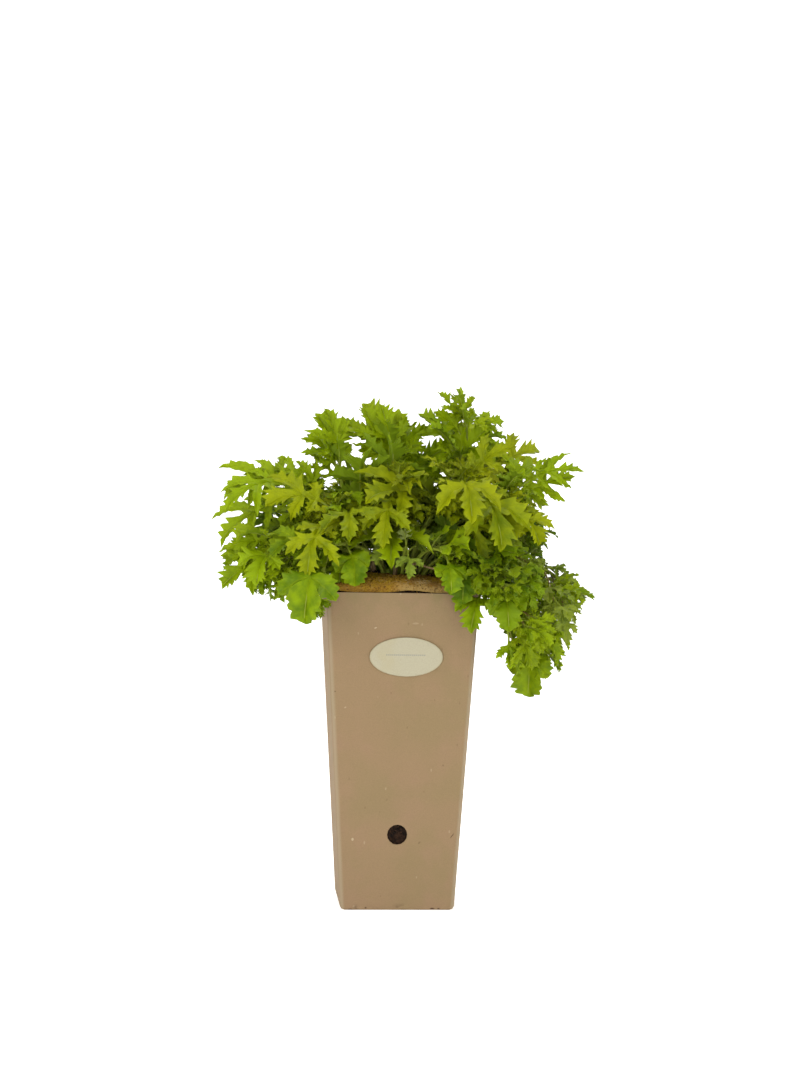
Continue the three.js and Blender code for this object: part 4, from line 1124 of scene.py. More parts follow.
# The strips of one half of a blade, each a list of rows: the place on the edge, the place on the vein, the
# way along it, the height there and how much it tilts
def halfStrips(kind, length, draws, own, plain, form):
    tip = kind["tip"]
    # the web between the lobes is wider in some leaves
    web = length * kind["web"] * (1 + jitter(own, blade["webSpread"]))

    def rib(share):
        return Vector((length * share, 0))

    def bayAt(share):
        return Vector((length * (share + kind["bay"]), web))

    # The share of the way along a vein at a row's edge, which slants towards the tip
    def edgeShare(edge, share, across, reach):
        ahead = lobeEdges[edge]["slant"] * across / reach
        return min(1, share + ahead + jitter(own, blade["shift"]) * (share < 1))

    lobes, spread = halfDraws(kind, length, draws)
    spread *= form["broad"]
    stalkEnd = kind["stalk"] * blade["stalkStart"]
    first = lobes[0]
    firstNeck = Vector((length * first["neck"], max(length * first["wing"], blade["stalkHalf"])))
    strips = [[(Vector((length * stalkEnd, blade["startHalf"])), rib(stalkEnd), 0, 0, 0),
               (firstNeck, rib(first["neck"]), 0, 0, 0)]]
    necks = [lobe["neck"] for lobe in lobes] + [tip["at"]]
    for index, lobe in enumerate(lobes):
        hub = rib(lobe["at"])
        drop = lobe["reach"] * (blade["lobeDrop"] + jitter(own, blade["lobeSway"]))
        twist = jitter(own, blade["lobeTwist"])
        for side, at in ((1, necks[index]), (-1, necks[index + 1])):
            onStalk = index == 0 and side == 1
            neck = firstNeck if onStalk else bayAt(at)
            rows = []
            for share, near, far in rowsOf(lobe["edge"], plain):
                across = (near if side > 0 else far) * form["broad"] * (1 + jitter(own, blade["uneven"]))
                edge = edgeShare(lobe["edge"], share, across * length * lobe["width"], lobe["reach"])
                place = lobePlace(length, lobe, edge, side * across)
                if not onStalk and (place - neck).dot(lobeWay(lobe, share)) < blade["leastAhead"]:
                    place = neck
                rows.append((place, lobePlace(length, lobe, share, 0), share * lobe["reach"],
                             drop * share * share, side * twist * share))
            bay = neck.lerp(rows[0][0], blade["bayOut"]).lerp(hub, blade["bayIn"]) if onStalk else neck
            strips.append([(neck, rib(at), 0, 0, 0), (bay, hub, 0, 0, 0)] + rows)
    start = bayAt(tip["at"])
    reach = length * (1 - tip["at"])
    rows = [(start, rib(tip["at"]), 0, 0, 0)]
    for share, width in rowsOf(tip["edge"], plain):
        across = width * spread * (1 + jitter(own, blade["uneven"]))
        edge = edgeShare(tip["edge"], share, across, reach)
        place = Vector((length * lerp(tip["at"], 1, edge), across))
        if place.x < start.x + blade["leastAhead"]:
            place = start
        rows.append((place, rib(lerp(tip["at"], 1, share)), share * length * (1 - tip["at"]),
                     form["tipDrop"] * share * share, 0))
    strips.append(rows)
    return strips


# A mesh of leaves: the attribute vein is the way over the skin, and leaf its tone, underside and age
def newPlantMesh():
    bm = bmesh.new()
    bm.verts.layers.float_vector.new("vein")
    bm.verts.layers.float_vector.new("leaf")
    return bm


def layersOf(bm):
    return bm.verts.layers.float_vector["vein"], bm.verts.layers.float_vector["leaf"]


# A flat blade with two faces, cut and toothed, from its strips. A plain one has fewer rows between its teeth.
def flatBlade(kind, length, draws, own, columns, plain=False):
    bm = newPlantMesh()
    way, mark = layersOf(bm)
    form = dict(broad=1 + jitter(own, blade["broad"]),
                tipDrop=length * (1 - kind["tip"]["at"]) * (blade["tipDrop"] + jitter(own, blade["tipSway"])))
    for side in (1, -1):
        for strip in halfStrips(kind, length, draws, own, plain, form):
            def placeOf(vert, i, j, strip=strip, side=side):
                edge, vein, along, height, tilt = strip[i]
                share = columns[j]
                place = vein.lerp(edge, share)
                across = (edge - vein).length * share
                vert[way] = (along, across, share)
                vert[mark] = (height + tilt * across, 0, 0)
                return Vector((place.x, side * place.y, 0))
            addGrid(bm, len(strip) - 1, len(columns) - 1, placeOf)
    bmesh.ops.remove_doubles(bm, verts=bm.verts, dist=merge["blade"])
    bmesh.ops.dissolve_degenerate(bm, edges=bm.edges, dist=merge["sliver"])
    bm.normal_update()
    bmesh.ops.reverse_faces(bm, faces=[f for f in bm.faces if f.normal.z < 0])
    bmesh.ops.solidify(bm, geom=bm.faces[:], thickness=blade["thickness"])
    middle = (max(v.co.z for v in bm.verts) + min(v.co.z for v in bm.verts)) / 2
    for vert in bm.verts:
        vert.co.z = (vert.co.z - middle) * (1 - blade["thinEdge"] * vert[way].z ** 3)
    return bm


# Sets a flat blade on its stem, folds its lobes a little, ruffles its edge, and marks tone, underside and age
def hangBlade(bm, leaf, tone, age, scale):
    way, mark = layersOf(bm)
    lobed = leaf["kind"]["lobes"][0]["at"] * leaf["length"]
    for vert in bm.verts:
        x, y, z = vert.co.x * scale, vert.co.y * scale, vert.co.z
        along, across, edge = vert[way].x * scale, vert[way].y * scale, vert[way].z
        turn = along * blade["waveRate"] + leaf["phase"] + (blade["halfTurn"] if y > 0 else 0)
        height = blade["ruffle"] * edge * edge * sin(turn * blade["ruffleRate"])
        folded = blade["fold"] * across * clamp((x - lobed + blade["foldBefore"]) / blade["foldRun"])
        height += folded + vert[mark].x * scale
        height += blade["wave"] * sin(turn) * min(1, abs(y) / blade["waveFrom"])
        vert[mark] = (tone, 1.0 if z < 0 else 0.0, age)
        vert[way] = (along, across, edge)
        vert.co = leafPoint(leaf, x, y, z + height)


# A closed tube with the stalk's finish. pointOf takes the share of the way along, the turn round it and the
# fullness, which is 0 at both ends, and gives the place, how far along the skin that is and its redness.
def addStalkTube(bm, rows, sides, pointOf):
    way, mark = layersOf(bm)

    def placeOf(vert, i, j):
        share = clamp((i - 1) / (rows - 2))
        place, along, redness = pointOf(share, -2 * pi * j / sides, 0 if i in (0, rows) else 1)
        vert[way] = (along, j / sides, 0)
        vert[mark] = (0.5, 0, redness)
        return place

    made = addGrid(bm, rows, sides, placeOf)
    for face in {face for vert in made for face in vert.link_faces}:
        face.material_index = 1
    bmesh.ops.remove_doubles(bm, verts=made, dist=merge["tube"])


# The stalk of a leaf, which runs on as its rib
def addStalk(bm, leaf, thick, redness, sides, rows):
    form = stalkForm
    length, stalk = leaf["length"], leaf["stalk"]

    def pointOf(share, turn, fullness):
        x = lerp(form["sunk"], length * form["end"], share)
        if x < stalk:
            radius = fullness * thick * lerp(1.0, form["neck"], x / stalk)
        else:
            radius = fullness * thick * lerp(form["neck"], form["thin"], (x - stalk) / (length - stalk))
        dip = form["dip"] * radius + form["clear"]
        dip *= clamp((x - stalk * form["dipFrom"]) / (stalk * form["dipRun"]))
        place = leafPoint(leaf, x, radius * cos(turn), radius * form["flat"] * sin(turn) - dip)
        return place, x, redness * (1 - share)

    addStalkTube(bm, rows, sides, pointOf)


# A blade set on its stem and its stalk, joined into the stem's mesh
def addLeaf(piece, leaf, flat, tone, age, thick, redness, scale=1.0, sides=6, rows=13):
    hangBlade(flat, leaf, tone, age, scale)
    joinInto(piece, flat)
    stalk = newPlantMesh()
    addStalk(stalk, leaf, thick, redness, sides, rows)
    joinInto(piece, stalk)


# A point on a ring round a line
def ringPoint(line, share, turn, radius):
    upper = curveTangent(line, share).cross(line["side"])
    return curvePoint(line, share) + radius * (cos(turn) * line["side"] + sin(turn) * upper)


# The stem itself, ridged, and swollen a little where each leaf stands
def addStem(bm, line, shares, redness):
    def pointOf(share, turn, fullness):
        swell = sum(math.exp(-((share - at) / stemRule["swellReach"]) ** 2) for at in shares)
        ridge = 1 + stemRule["ridge"] * cos(stemRule["ridges"] * turn)
        swollen = (1 + stemRule["swell"] * min(swell, 1)) * ridge
        radius = lerp(stemRule["base"], stemRule["tip"], share) * swollen
        place = ringPoint(line, share, turn, fullness * radius)
        return place, share * stemRule["wayLength"], redness * (stemRule["redFoot"] - share)

    addStalkTube(bm, stemRule["rings"], stemRule["sides"], pointOf)


# SMALL LEAVES AND SIDE SHOOTS
small = dict(
    proto=40, versions=6, columns=(0, 0.4, 1), tinyColumns=(0, 1), tiny=27, shortest=18, longest=44,
    seeds=(900, 950), age=0.3, thin=0.4, thick=0.62, thickAt=50, sides=4, rows=8, tinyRows=5,
    # how the leaves of a shoot and between the others lie
    roll=60, fold=0.24,
)
# Half widths of a leaf's whole shape in shares of its length, to test its room with
envelope = dict(stalkFrom=0.4, stalkTo=0.95, stalkHalf=0.012, reach=0.9, tipAt=0.35, end=0.97, endHalf=0.01)
# How far inside the lowest and highest corner of the CAD box the small leaves stay, but on the left beyond it
boxMargin = dict(low=(-4.7, 1, 1), high=(1, 1, 1))
# Places that small leaves leave open: lowest and highest corners
openPlaces = [
    ((-40, -120, 0), (20, -20, 230)), ((46, -120, 0), (66, 120, 192)), ((97, -120, 213), (135, 120, 263)),
    ((-140, -120, 279), (-70, 120, 400)), ((-51, -120, 266), (-43, 120, 285)),
    ((68, -120, 300), (140, 120, 400)),
    ((78, -120, 291), (140, 120, 400)), ((-140, -120, 0), (-84, 120, 196)),
]
# Leaves that the photograph shows between the large ones: the stem, the place of the tip, the length, how
# far the leaf droops, how it is cut, and how far it is turned to the front (None as the stem's own leaves)
guides = [
    ("reach_left", (-117, -18, 257), 46, 85, "arch", 66), ("reach_left", (-117, -26, 229), 54, 85, "arch", 66),
    ("left_low", (-110, -28, 227), 34, 60, "cut", 66), ("left_low", (-117, -26, 199), 40, 55, "three", 60),
    ("reach_left", (-104, -8, 274), 44, 45, "arch", 50), ("reach_left", (-92, 6, 278), 40, 40, "lace", None),
    ("reach_left", (-66, -12, 283), 34, 20, "cut", 70), ("left_low", (-100, -20, 210), 34, 55, "lace", None),
    ("top_left", (-55, 0, 316), 46, 30, "cut", 40), ("top_left", (-58, -2, 289), 40, 40, "arch", 50),
    ("top_left", (-56, -8, 300), 38, 35, "lace", 40), ("top_left", (-48, 4, 317), 36, 20, "cut", 30),
    ("top_centre", (-40, 6, 316), 40, 25, "arch", None), ("top_centre", (-25, 2, 321), 46, 35, "cut", 60),
    ("top_centre", (-13, 4, 325), 46, 20, "cut", 40), ("top_centre", (0, 8, 321), 46, 20, "arch", 40),
    ("top_right", (12, 6, 316), 44, 30, "cut", 40), ("top_centre", (-8, -12, 310), 42, 45, "three", 60),
    ("top_right", (21, 0, 316), 36, 50, "three", 60), ("top_right", (36, 0, 331), 34, 20, "cut", 60),
    ("top_right", (24, 4, 330), 34, 20, "lace", 60), ("top_right", (50, 2, 318), 34, 60, "three", 50),
    ("top_right", (57, 0, 307), 40, 60, "three", 50), ("upper_right", (66, 0, 294), 40, 40, "three", 50),
    ("upper_right", (80, 0, 283), 42, 40, "cut", 50), ("reach_right", (113, -14, 276), 52, 25, "arch", 80),
    ("right_front", (91, -28, 243), 42, 75, "cut", 40), ("sprig_right", (98, -8, 237), 30, 30, "sprig", None),
    ("sprig_right", (99, 2, 229), 28, 30, "sprig", None), ("trail_grey", (103, -14, 212), 30, 40, "lace", None),
    ("trail_grey", (113, -18, 198), 30, 30, "lace", None), ("trail_grey", (114, -22, 187), 28, 40, "lace", None),
    ("trail_right", (108, -28, 164), 34, 40, "three", None), ("left_low", (-78, -34, 191), 36, 60, "three", 60),
    ("front_left", (-64, -40, 184), 36, 60, "three", 60), ("left_front", (-52, -52, 236), 40, 60, "cut", 60),
    ("top_centre", (2, 2, 314), 42, 30, "cut", 50), ("top_centre", (10, 8, 307), 40, 40, "three", 50),
    ("top_centre", (20, 8, 306), 44, 60, "cut", 60), ("top_centre", (14, -8, 296), 38, 50, "cut", 60),
    ("top_left", (-36, -6, 284), 36, 40, "cut", 50), ("top_left", (-41, -12, 297), 36, 35, "three", 40),
    ("trail_right", (99, -34, 157), 32, 40, "three", None), ("trail_low", (70, -50, 148), 34, 40, "three", 60),
    ("left_low", (-114, -24, 212), 36, 60, "arch", 66),
]
guideForm = dict(slack=4, lowest=0.25, steps=60, breadths=(1, 0.5), seed=300, bladeSeed=310, age=0.1,
                 thick=0.62)


# How unlike the planned way another way to set a guided leaf is: its size, its bend, how far its tip lies
# behind, and how much it turns
def unlike(way):
    size, bend, depth, turn = way
    return 3 * abs(size - 1) + abs(bend - 1) + abs(depth) / 9 + abs(turn) / 40


guideWays = sorted(((size, bend, depth, turn) for size in (1, 0.87, 1.15, 1.3) for bend in (1, 0.55)
                    for depth in (0, 6, -6, 12, -12) for turn in (0, 22, -22)), key=unlike)
# Trailing stems branch into thin shoots with small, finely cut leaves: how many shoots, their length, and the
# two kinds of their leaves
shoots = dict(
    trail_right=(9, 38, "lace", "three"), trail_low=(8, 34, "three", "lace"),
    trail_grey=(10, 40, "lace", "three"), over_corner=(5, 28, "fan", "three"),
    sprig_right=(3, 28, "sprig", "sprig"), reach_left=(3, 34, "cut", "three"),
    left_low=(5, 32, "three", "lace"), front_left=(2, 26, "fan", "three"), back_low=(3, 28, "three", "lace"),
    back_low_left=(3, 28, "three", "lace"), back_low_right=(4, 30, "three", "lace"),
)
shootForm = dict(
    rings=10, sides=5, base=0.8, tip=0.5, wayLength=30, opens=(30, 75), sway=0.5, sag=-0.35, half=0.5,
    bend=0.35,
    # the strip that its room is tested with
    steps=5, testFrom=0.12, testTo=0.98, testHalf=0.6,
    # where shoots start on a stem, how unlike in length, and how many tries each has
    startFrom=0.3, startTo=0.97, shorter=0.7, longer=1.15, tries=20,
    # its leaves: places for them, the fewest, how far up the last one is at least, their size and how
    # they lie
    places=21, lowestLeaf=0.25, fewest=3, lastLeaf=0.7, shortest=13, longest=27, leafOpens=(70, 20),
    leafDroops=(20, 80), leafTurn=20,
)

# The size of the main leaves against the part's own: by kind, by stem, and for single leaves of a stem
mainSize = dict(cut=0.86, three=0.9, fan=0.88, sprig=1.0)
stemSize = dict(top_centre=1.0, top_left=0.95, top_mid=0.95)
trims = {
    ("top_right", 4): 0.7, ("top_centre", 3): 0.84, ("top_left", 4): 0.66, ("upper_right", 1): 0.72,
    ("upper_right", 2): 0.8, ("upper_right", 3): 0.62, ("upper_right", 4): 0.8, ("right_front", 1): 0.78,
    ("right_front", 2): 0.6, ("trail_right", 3): 0.62, ("trail_right", 4): 1.0, ("left_low", 2): 0.75,
    ("left_low", 3): 0.78, ("front_left", 0): 0.75, ("front_left", 1): 0.95, ("trail_grey", 3): 0.5,
    ("trail_grey", 4): 0.75, ("trail_low", 2): 0.5, ("trail_low", 3): 0.6, ("front_low", 1): 0.8,
    ("reach_left", 1): 0.72, ("reach_left", 2): 0.84, ("left_back", 3): 0.72, ("sprig_right", 3): 0.6,
}
# Leaves with long slim lobes
slimLeaves = [("reach_left", 2), ("reach_left", 3), ("reach_right", 3), ("reach_right", 2), ("left_back", 3)]

grownStems = []
missing = 0
for index, stem in enumerate(stems):
    line = stemLine(stem)
    tree = treeOf("stem_" + stem["name"])
    found = [settledLeaf(leaf, tree) for leaf in leavesOf(stem, line, index + 1)]
    kept = [dict(leaf, kind=leafKinds[stem["kind"]]) for leaf in found if leaf]
    missing += len(found) - len(kept)
    for number, leaf in enumerate(kept):
        key = (stem["name"], number)
        usual = stemSize.get(stem["name"], mainSize[stem["kind"]])
        if key in slimLeaves:
            leaf = dict(leaf, kind=leafKinds["arch"])
            usual = 1
        kept[number] = setLeaf(leaf, shrink=trims.get(key, usual))
    grownStems.append((stem, line, kept))
print("leaves found in the frame:", sum(len(kept) for _, _, kept in grownStems), "left out:", missing)


# A thing to keep clear of: a tree of its faces, with its lowest and highest corners
def obstacleOf(points, faces):
    low = Vector([min(p[k] for p in points) for k in range(3)])
    high = Vector([max(p[k] for p in points) for k in range(3)])
    return BVHTree.FromPolygons(points, faces), low, high


obstacles = []
for name in nodes:
    if name != "label" and not name.startswith("stem_"):
        mesh = nodes[name].data
        points = [v.co / mm for v in mesh.vertices]
        obstacles.append(obstacleOf(points, [tuple(p.vertices) for p in mesh.polygons]))
boxLow = cadBox[0] / mm + Vector(boxMargin["low"])
boxHigh = cadBox[1] / mm - Vector(boxMargin["high"])


# Adds a thin sheet to what is kept clear of, if it has room
def claimRoom(points, faces):
    claimed = obstacleOf(points, faces)
    tree, low, high = claimed
    if any(low[k] < boxLow[k] or high[k] > boxHigh[k] for k in range(3)):
        return False
    for other, otherLow, otherHigh in obstacles:
        if any(low[k] > otherHigh[k] or high[k] < otherLow[k] for k in range(3)):
            continue
        if tree.overlap(other):
            return False
    obstacles.append(claimed)
    return True


def envelopeOf(kind):
    rows = []
    for lobe in kind["lobes"]:
        angle = radians(lobe["angle"]) - blade["curl"] / 2
        rows.append((lobe["at"] + lobe["length"] * cos(angle) * envelope["reach"],
                     lobe["length"] * sin(angle) * envelope["reach"]))
    stalk = [(kind["stalk"] * envelope[end], envelope["stalkHalf"]) for end in ("stalkFrom", "stalkTo")]
    rows = stalk + sorted(rows)
    rows.append((lerp(rows[-1][0], 1, envelope["tipAt"]), kind["tip"]["width"]))
    rows.append((envelope["end"], envelope["endHalf"]))
    return rows


envelopes = {name: envelopeOf(kind) for name, kind in leafKinds.items()}


def inOpenPlace(point):
    return any(all(low[k] < point[k] < high[k] for k in range(3)) for low, high in openPlaces)


# Whether a leaf has room in its whole shape. A guided one may stand in an open place, and in a tight place
# only a share of its breadth is kept clear.
def leafHasRoom(leaf, kindName, anywhere=False, breadth=1.0):
    rows = envelopes[kindName]
    length = leaf["length"]

    def sheet(wide):
        return [leafPoint(leaf, x * length, side * y * length * wide, 0)
                for x, y in rows for side in (-1, 0, 1)]

    points = sheet(1)
    if not anywhere and any(inOpenPlace(point) for point in points):
        return False
    if any(point[k] < boxLow[k] or point[k] > boxHigh[k] for point in points for k in range(3)):
        return False
    faces = [(a, a + 1, a + 4, a + 3) for i in range(len(rows) - 1) for a in (i * 3, i * 3 + 1)]
    return claimRoom(points if breadth == 1 else sheet(breadth), faces)


prototypes = {}


# A small leaf's flat blade, made once for each kind and version
def prototypeOf(kindName, version, tiny):
    key = (kindName, version, tiny)
    if key not in prototypes:
        draws, own = [drawsFrom(seed + version) for seed in small["seeds"]]
        columns = small["tinyColumns"] if tiny else small["columns"]
        bm = flatBlade(leafKinds[kindName], small["proto"], draws, own, columns, plain=True)
        prototypes[key] = bpy.data.meshes.new("flatLeaf")
        bm.to_mesh(prototypes[key])
        bm.free()
    return prototypes[key]


def addSmallLeaf(piece, leaf, kindName, tone, redness, draws):
    flat = bmesh.new()
    tiny = leaf["length"] < small["tiny"]
    flat.from_mesh(prototypeOf(kindName, int(next(draws) * small["versions"]), tiny))
    thick = lerp(small["thin"], small["thick"], clamp(leaf["length"] / small["thickAt"]))
    addLeaf(piece, leaf, flat, tone, small["age"] * next(draws), thick, redness * next(draws),
            scale=leaf["length"] / small["proto"], sides=small["sides"],
            rows=small["tinyRows" if tiny else "rows"])


# A leaf that leaves a line at a share of its length, turned round it and opened away from it
def leafFrom(line, share, turn, opened, kindName, length, droop, draws):
    start = openedWay(line, share, turn, opened)
    heading = math.atan2(start.y, start.x)
    elevation = elevationOf(start)
    foot = curvePoint(line, share)
    return dict(kind=leafKinds[kindName], foot=foot, heading=heading, elevation=elevation, length=length,
                droop=droop, roll=radians(facedRoll(foot, heading, elevation) + jitter(draws, small["roll"])),
                fold=leafRule["middleFold"] + jitter(draws, small["fold"]), phase=2 * pi * next(draws))


# A thin shoot that leaves a stem
def shootFrom(line, share, length, draws):
    form = shootForm
    turn = 2 * pi * next(draws)
    start = openedWay(line, share, turn, radians(lerp(*form["opens"], next(draws))))
    foot = curvePoint(line, share)
    sway = Vector((jitter(draws, form["sway"]), jitter(draws, form["sway"]), form["sag"]))
    bent = (start + sway).normalized()
    tip = foot + start * length * form["half"] + bent * length * form["half"]
    side = start.cross(Vector((0, 0, 1)))
    side = side.normalized() if side.length > 0.1 else Vector((1, 0, 0))
    points = (foot, foot + start * length * form["bend"], tip - bent * length * form["bend"], tip)
    return dict(points=points, side=side)


# Whether a shoot has room, tested as a narrow strip
def shootHasRoom(shoot):
    steps = shootForm["steps"]
    if any(inOpenPlace(curvePoint(shoot, i / steps)) for i in range(steps + 1)):
        return False
    half = shoot["side"] * shootForm["testHalf"]
    points = []
    for i in range(steps + 1):
        place = curvePoint(shoot, lerp(shootForm["testFrom"], shootForm["testTo"], i / steps))
        points += [place - half, place + half]
    return claimRoom(points, [(2 * i, 2 * i + 1, 2 * i + 3, 2 * i + 2) for i in range(steps)])


def addShoot(bm, shoot, redness):
    def pointOf(share, turn, fullness):
        radius = fullness * lerp(shootForm["base"], shootForm["tip"], share)
        return ringPoint(shoot, share, turn, radius), share * shootForm["wayLength"], redness

    addStalkTube(bm, shootForm["rings"], shootForm["sides"], pointOf)


# Tones of the greens, and stems whose leaves are lighter or darker than others of their green. Leaves in the
# bush's heart are darker, partly as painted shade and partly as older, deeper green, and those at its skin
# lighter.
toneOf = dict(bright=0.66, fresh=0.74, deep=0.48, grey=0.56)
lighter = dict(front_small=0.4, front_low=-0.3, over_corner=0.15, front_left=-0.25, reach_left=0.2,
               top_left=0.1, top_centre=0.1, left_back=0.15, trail_right=-0.2, trail_low=-0.1, left_low=-0.1)
reddish = ("sprig_right", "trail_grey", "trail_right", "trail_low")
# skin and middle set how far the tone falls towards the bush's heart, which is partly painted shade
toneRule = dict(centre=(4, 0, 235), reach=(112, 88, 88), skin=0.8, middle=0.8, spread=0.4, guideSpread=0.2,
                red=0.85, usualRed=0.5, mainAt=0.7, fillAt=0.6)
mainForm = dict(seed=500, age=0.5, ageSpread=1.2, thick=0.78, redness=0.5)


# How far out of the bush a place is, from 0 in its heart to 1 at its skin
def outwardness(place):
    return clamp(Vector([(place[k] - toneRule["centre"][k]) / toneRule["reach"][k] for k in range(3)]).length)


# painted shade: the tone falls towards the bush's heart, standing in for the shade there as well as for older
# leaves
def shadedToneAt(place, stem, draws, spread=toneRule["spread"]):
    tone = toneOf[stem["green"]] + lighter.get(stem["name"], 0)
    return clamp(tone + toneRule["skin"] * (outwardness(place) - toneRule["middle"]) + jitter(draws, spread))


pieces = []
for index, (stem, line, kept) in enumerate(grownStems):
    own = drawsFrom(mainForm["seed"] + index)
    piece = newPlantMesh()
    redness = toneRule["red" if stem["name"] in reddish else "usualRed"]
    addStem(piece, line, [leaf["share"] for leaf in kept], redness)
    for leaf in kept:
        flat = flatBlade(leaf["kind"], leaf["length"], drawsFrom(leaf["seed"]), own, blade["columns"])
        tone = shadedToneAt(leafPoint(leaf, leaf["length"] * toneRule["mainAt"], 0, 0), stem, own)
        age = clamp(jitter(own, mainForm["ageSpread"])) * mainForm["age"]
        addLeaf(piece, leaf, flat, tone, age, mainForm["thick"], redness * mainForm["redness"])
    piece.verts.index_update()
    faces = [[v.index for v in f.verts] for f in piece.faces]
    obstacles.append(obstacleOf([v.co for v in piece.verts], faces))
    pieces.append((stem, line, piece, redness))
print("main leaves are made")


# A leaf whose tip is at a given place: its foot is where the stem is one leaf's reach away
def guidedLeaf(line, tip, length, droop, kindName, facing, phase):
    leaf = dict(kind=leafKinds[kindName], foot=Vector(), heading=0.0, elevation=0.0, length=length,
                droop=radians(droop), roll=0.0, fold=leafRule["middleFold"], phase=phase)
    reach = leafPoint(setLeaf(leaf), length, 0, 0)
    steps = guideForm["steps"]
    share = min((lerp(guideForm["lowest"], 1, i / steps) for i in range(steps + 1)),
                key=lambda s: abs((curvePoint(line, s) - tip).length - reach.length))
    foot = curvePoint(line, share)
    way = tip - foot
    if abs(way.length - reach.length) > guideForm["slack"]:
        return None
    heading = math.atan2(way.y, way.x)
    elevation = math.asin(clamp(way.z / way.length, -1, 1)) - math.atan2(reach.z, reach.x)
    roll = radians(math.copysign(facing, cos(heading)))
    return setLeaf(dict(leaf, foot=foot, heading=heading, elevation=elevation, roll=roll))


byName = {entry[0]["name"]: entry for entry in pieces}
guided = 0
for index, (name, tip, length, droop, kindName, facing) in enumerate(guides):
    stem, line, piece, redness = byName[name]
    own = drawsFrom(guideForm["seed"] + index)
    phase = 2 * pi * next(own)
    turned = leafRule["outwardRoll"] if facing is None else facing
    for breadth, (size, bend, depth, turn) in [(b, way) for b in guideForm["breadths"] for way in guideWays]:
        target = Vector(tip) + Vector((0, depth, 0))
        leaf = guidedLeaf(line, target, length * size, droop * bend, kindName, turned + turn, phase)
        if leaf and leafHasRoom(leaf, kindName, anywhere=True, breadth=breadth):
            draws = drawsFrom(guideForm["bladeSeed"] + index)
            flat = flatBlade(leaf["kind"], leaf["length"], draws, own, small["columns"])
            tone = shadedToneAt(target, stem, own, toneRule["guideSpread"])
            addLeaf(piece, leaf, flat, tone, guideForm["age"], guideForm["thick"], redness)
            guided += 1
            break
    else:
        print("no room for", name, tip)
print("guided leaves:", guided, "of", len(guides))

# Side shoots first, with their own small leaves, and then leaves wherever the stems leave room
shootCount = 0
shootLeaves = 0
for stem, line, piece, redness in pieces:
    if stem["name"] not in shoots:
        continue
    wanted, usual, *kinds = shoots[stem["name"]]
    own = drawsFrom(700 + len(stem["name"]) * 31 + stem["leaves"])
    made = 0
    for attempt in range(wanted * shootForm["tries"]):
        if made == wanted:
            break
        share = lerp(shootForm["startFrom"], shootForm["startTo"], next(own))
        length = usual * lerp(shootForm["shorter"], shootForm["longer"], next(own))
        shoot = shootFrom(line, share, length, own)
        kept = len(obstacles)
        if not shootHasRoom(shoot):
            continue
        grown = []
        for i in range(shootForm["places"]):
            at = lerp(shootForm["lowestLeaf"], 1.0, (i + 0.5) / shootForm["places"])
            kindName = kinds[int(next(own) * len(kinds))]
            length = lerp(shootForm["shortest"], shootForm["longest"], next(own))
            droop = radians(lerp(*shootForm["leafDroops"], next(own)))
            turn = radians(leafRule["golden"] * i)
            opened = radians(lerp(*shootForm["leafOpens"], at))
            leaf = leafFrom(shoot, at, turn, opened, kindName, length, droop, own)
            leaf = setLeaf(leaf, jitter(own, shootForm["leafTurn"]), jitter(own, shootForm["leafTurn"]))
            if leafHasRoom(leaf, kindName):
                grown.append((leaf, kindName, at))
        if len(grown) < shootForm["fewest"] or max(at for _, _, at in grown) < shootForm["lastLeaf"]:
            del obstacles[kept:]
            continue
        made += 1
        shootLeaves += len(grown)
        addShoot(piece, shoot, redness)
        for leaf, kindName, _ in grown:
            addSmallLeaf(piece, leaf, kindName, shadedToneAt(leaf["foot"], stem, own), redness, own)
    shootCount += made
print("side shoots:", shootCount, "with leaves:", shootLeaves)

fillKinds = dict(cut=("cut", "cut", "arch", "lace", "three"), three=("three", "three", "lace", "lace", "cut"),
                 fan=("fan", "three", "three", "lace", "fan"),
                 sprig=("sprig", "sprig", "lace", "lace", "three"))
fill = dict(seed=811, tries=9000, lowest=0.3, upwards=0.8, smallest=0.45, opens=(20, 85), droops=(25, 95))
own = drawsFrom(fill["seed"])
filled = 0
for attempt in range(fill["tries"]):
    stem, line, piece, redness = pieces[int(next(own) * len(pieces))]
    share = lerp(fill["lowest"], 1.0, next(own) ** fill["upwards"])
    kinds = fillKinds[stem["kind"]]
    kindName = kinds[int(next(own) * len(kinds))]
    longest = small["longest"] * lerp(1, fill["smallest"], attempt / fill["tries"])
    length = max(lerp(small["shortest"], longest, next(own)), small["shortest"])
    turn = 2 * pi * next(own)
    opened = radians(lerp(*fill["opens"], next(own)))
    droop = radians(lerp(*fill["droops"], next(own)))
    leaf = setLeaf(leafFrom(line, share, turn, opened, kindName, length, droop, own))
    if leafHasRoom(leaf, kindName):
        tone = shadedToneAt(leafPoint(leaf, leaf["length"] * toneRule["fillAt"], 0, 0), stem, own)
        addSmallLeaf(piece, leaf, kindName, tone, redness, own)
        filled += 1
print("fill leaves:", filled, "after tries:", fill["tries"])

for stem, line, piece, redness in pieces:
    makePiece("leafy_" + stem["name"], piece, [leafSkins["leaf_" + stem["green"]], stalkSkin],
              ["stem_" + stem["name"]])
print("leafy stems are made")

# OLD CUT STEMS
stubs = [
    dict(root=(-15.5, -12), lean=(-0.15, -0.1), height=13, radius=1.8),
    dict(root=(-3.5, -15), lean=(0.05, -0.1), height=10, radius=1.5),
    dict(root=(-20, -2), lean=(-0.1, 0.05), height=9, radius=1.5),
]
# Its rings run up the outside, over the rim and down into the pith
stubForm = dict(depth=6, sides=14, rings=9, inner=3, ribs=5, ribDepth=0.09, foot=1.08, rim=0.94, splinter=2.6,
                splinterRate=1.4, seedStep=7.3, worn=0.8, pith=0.55, hollow=1.5)


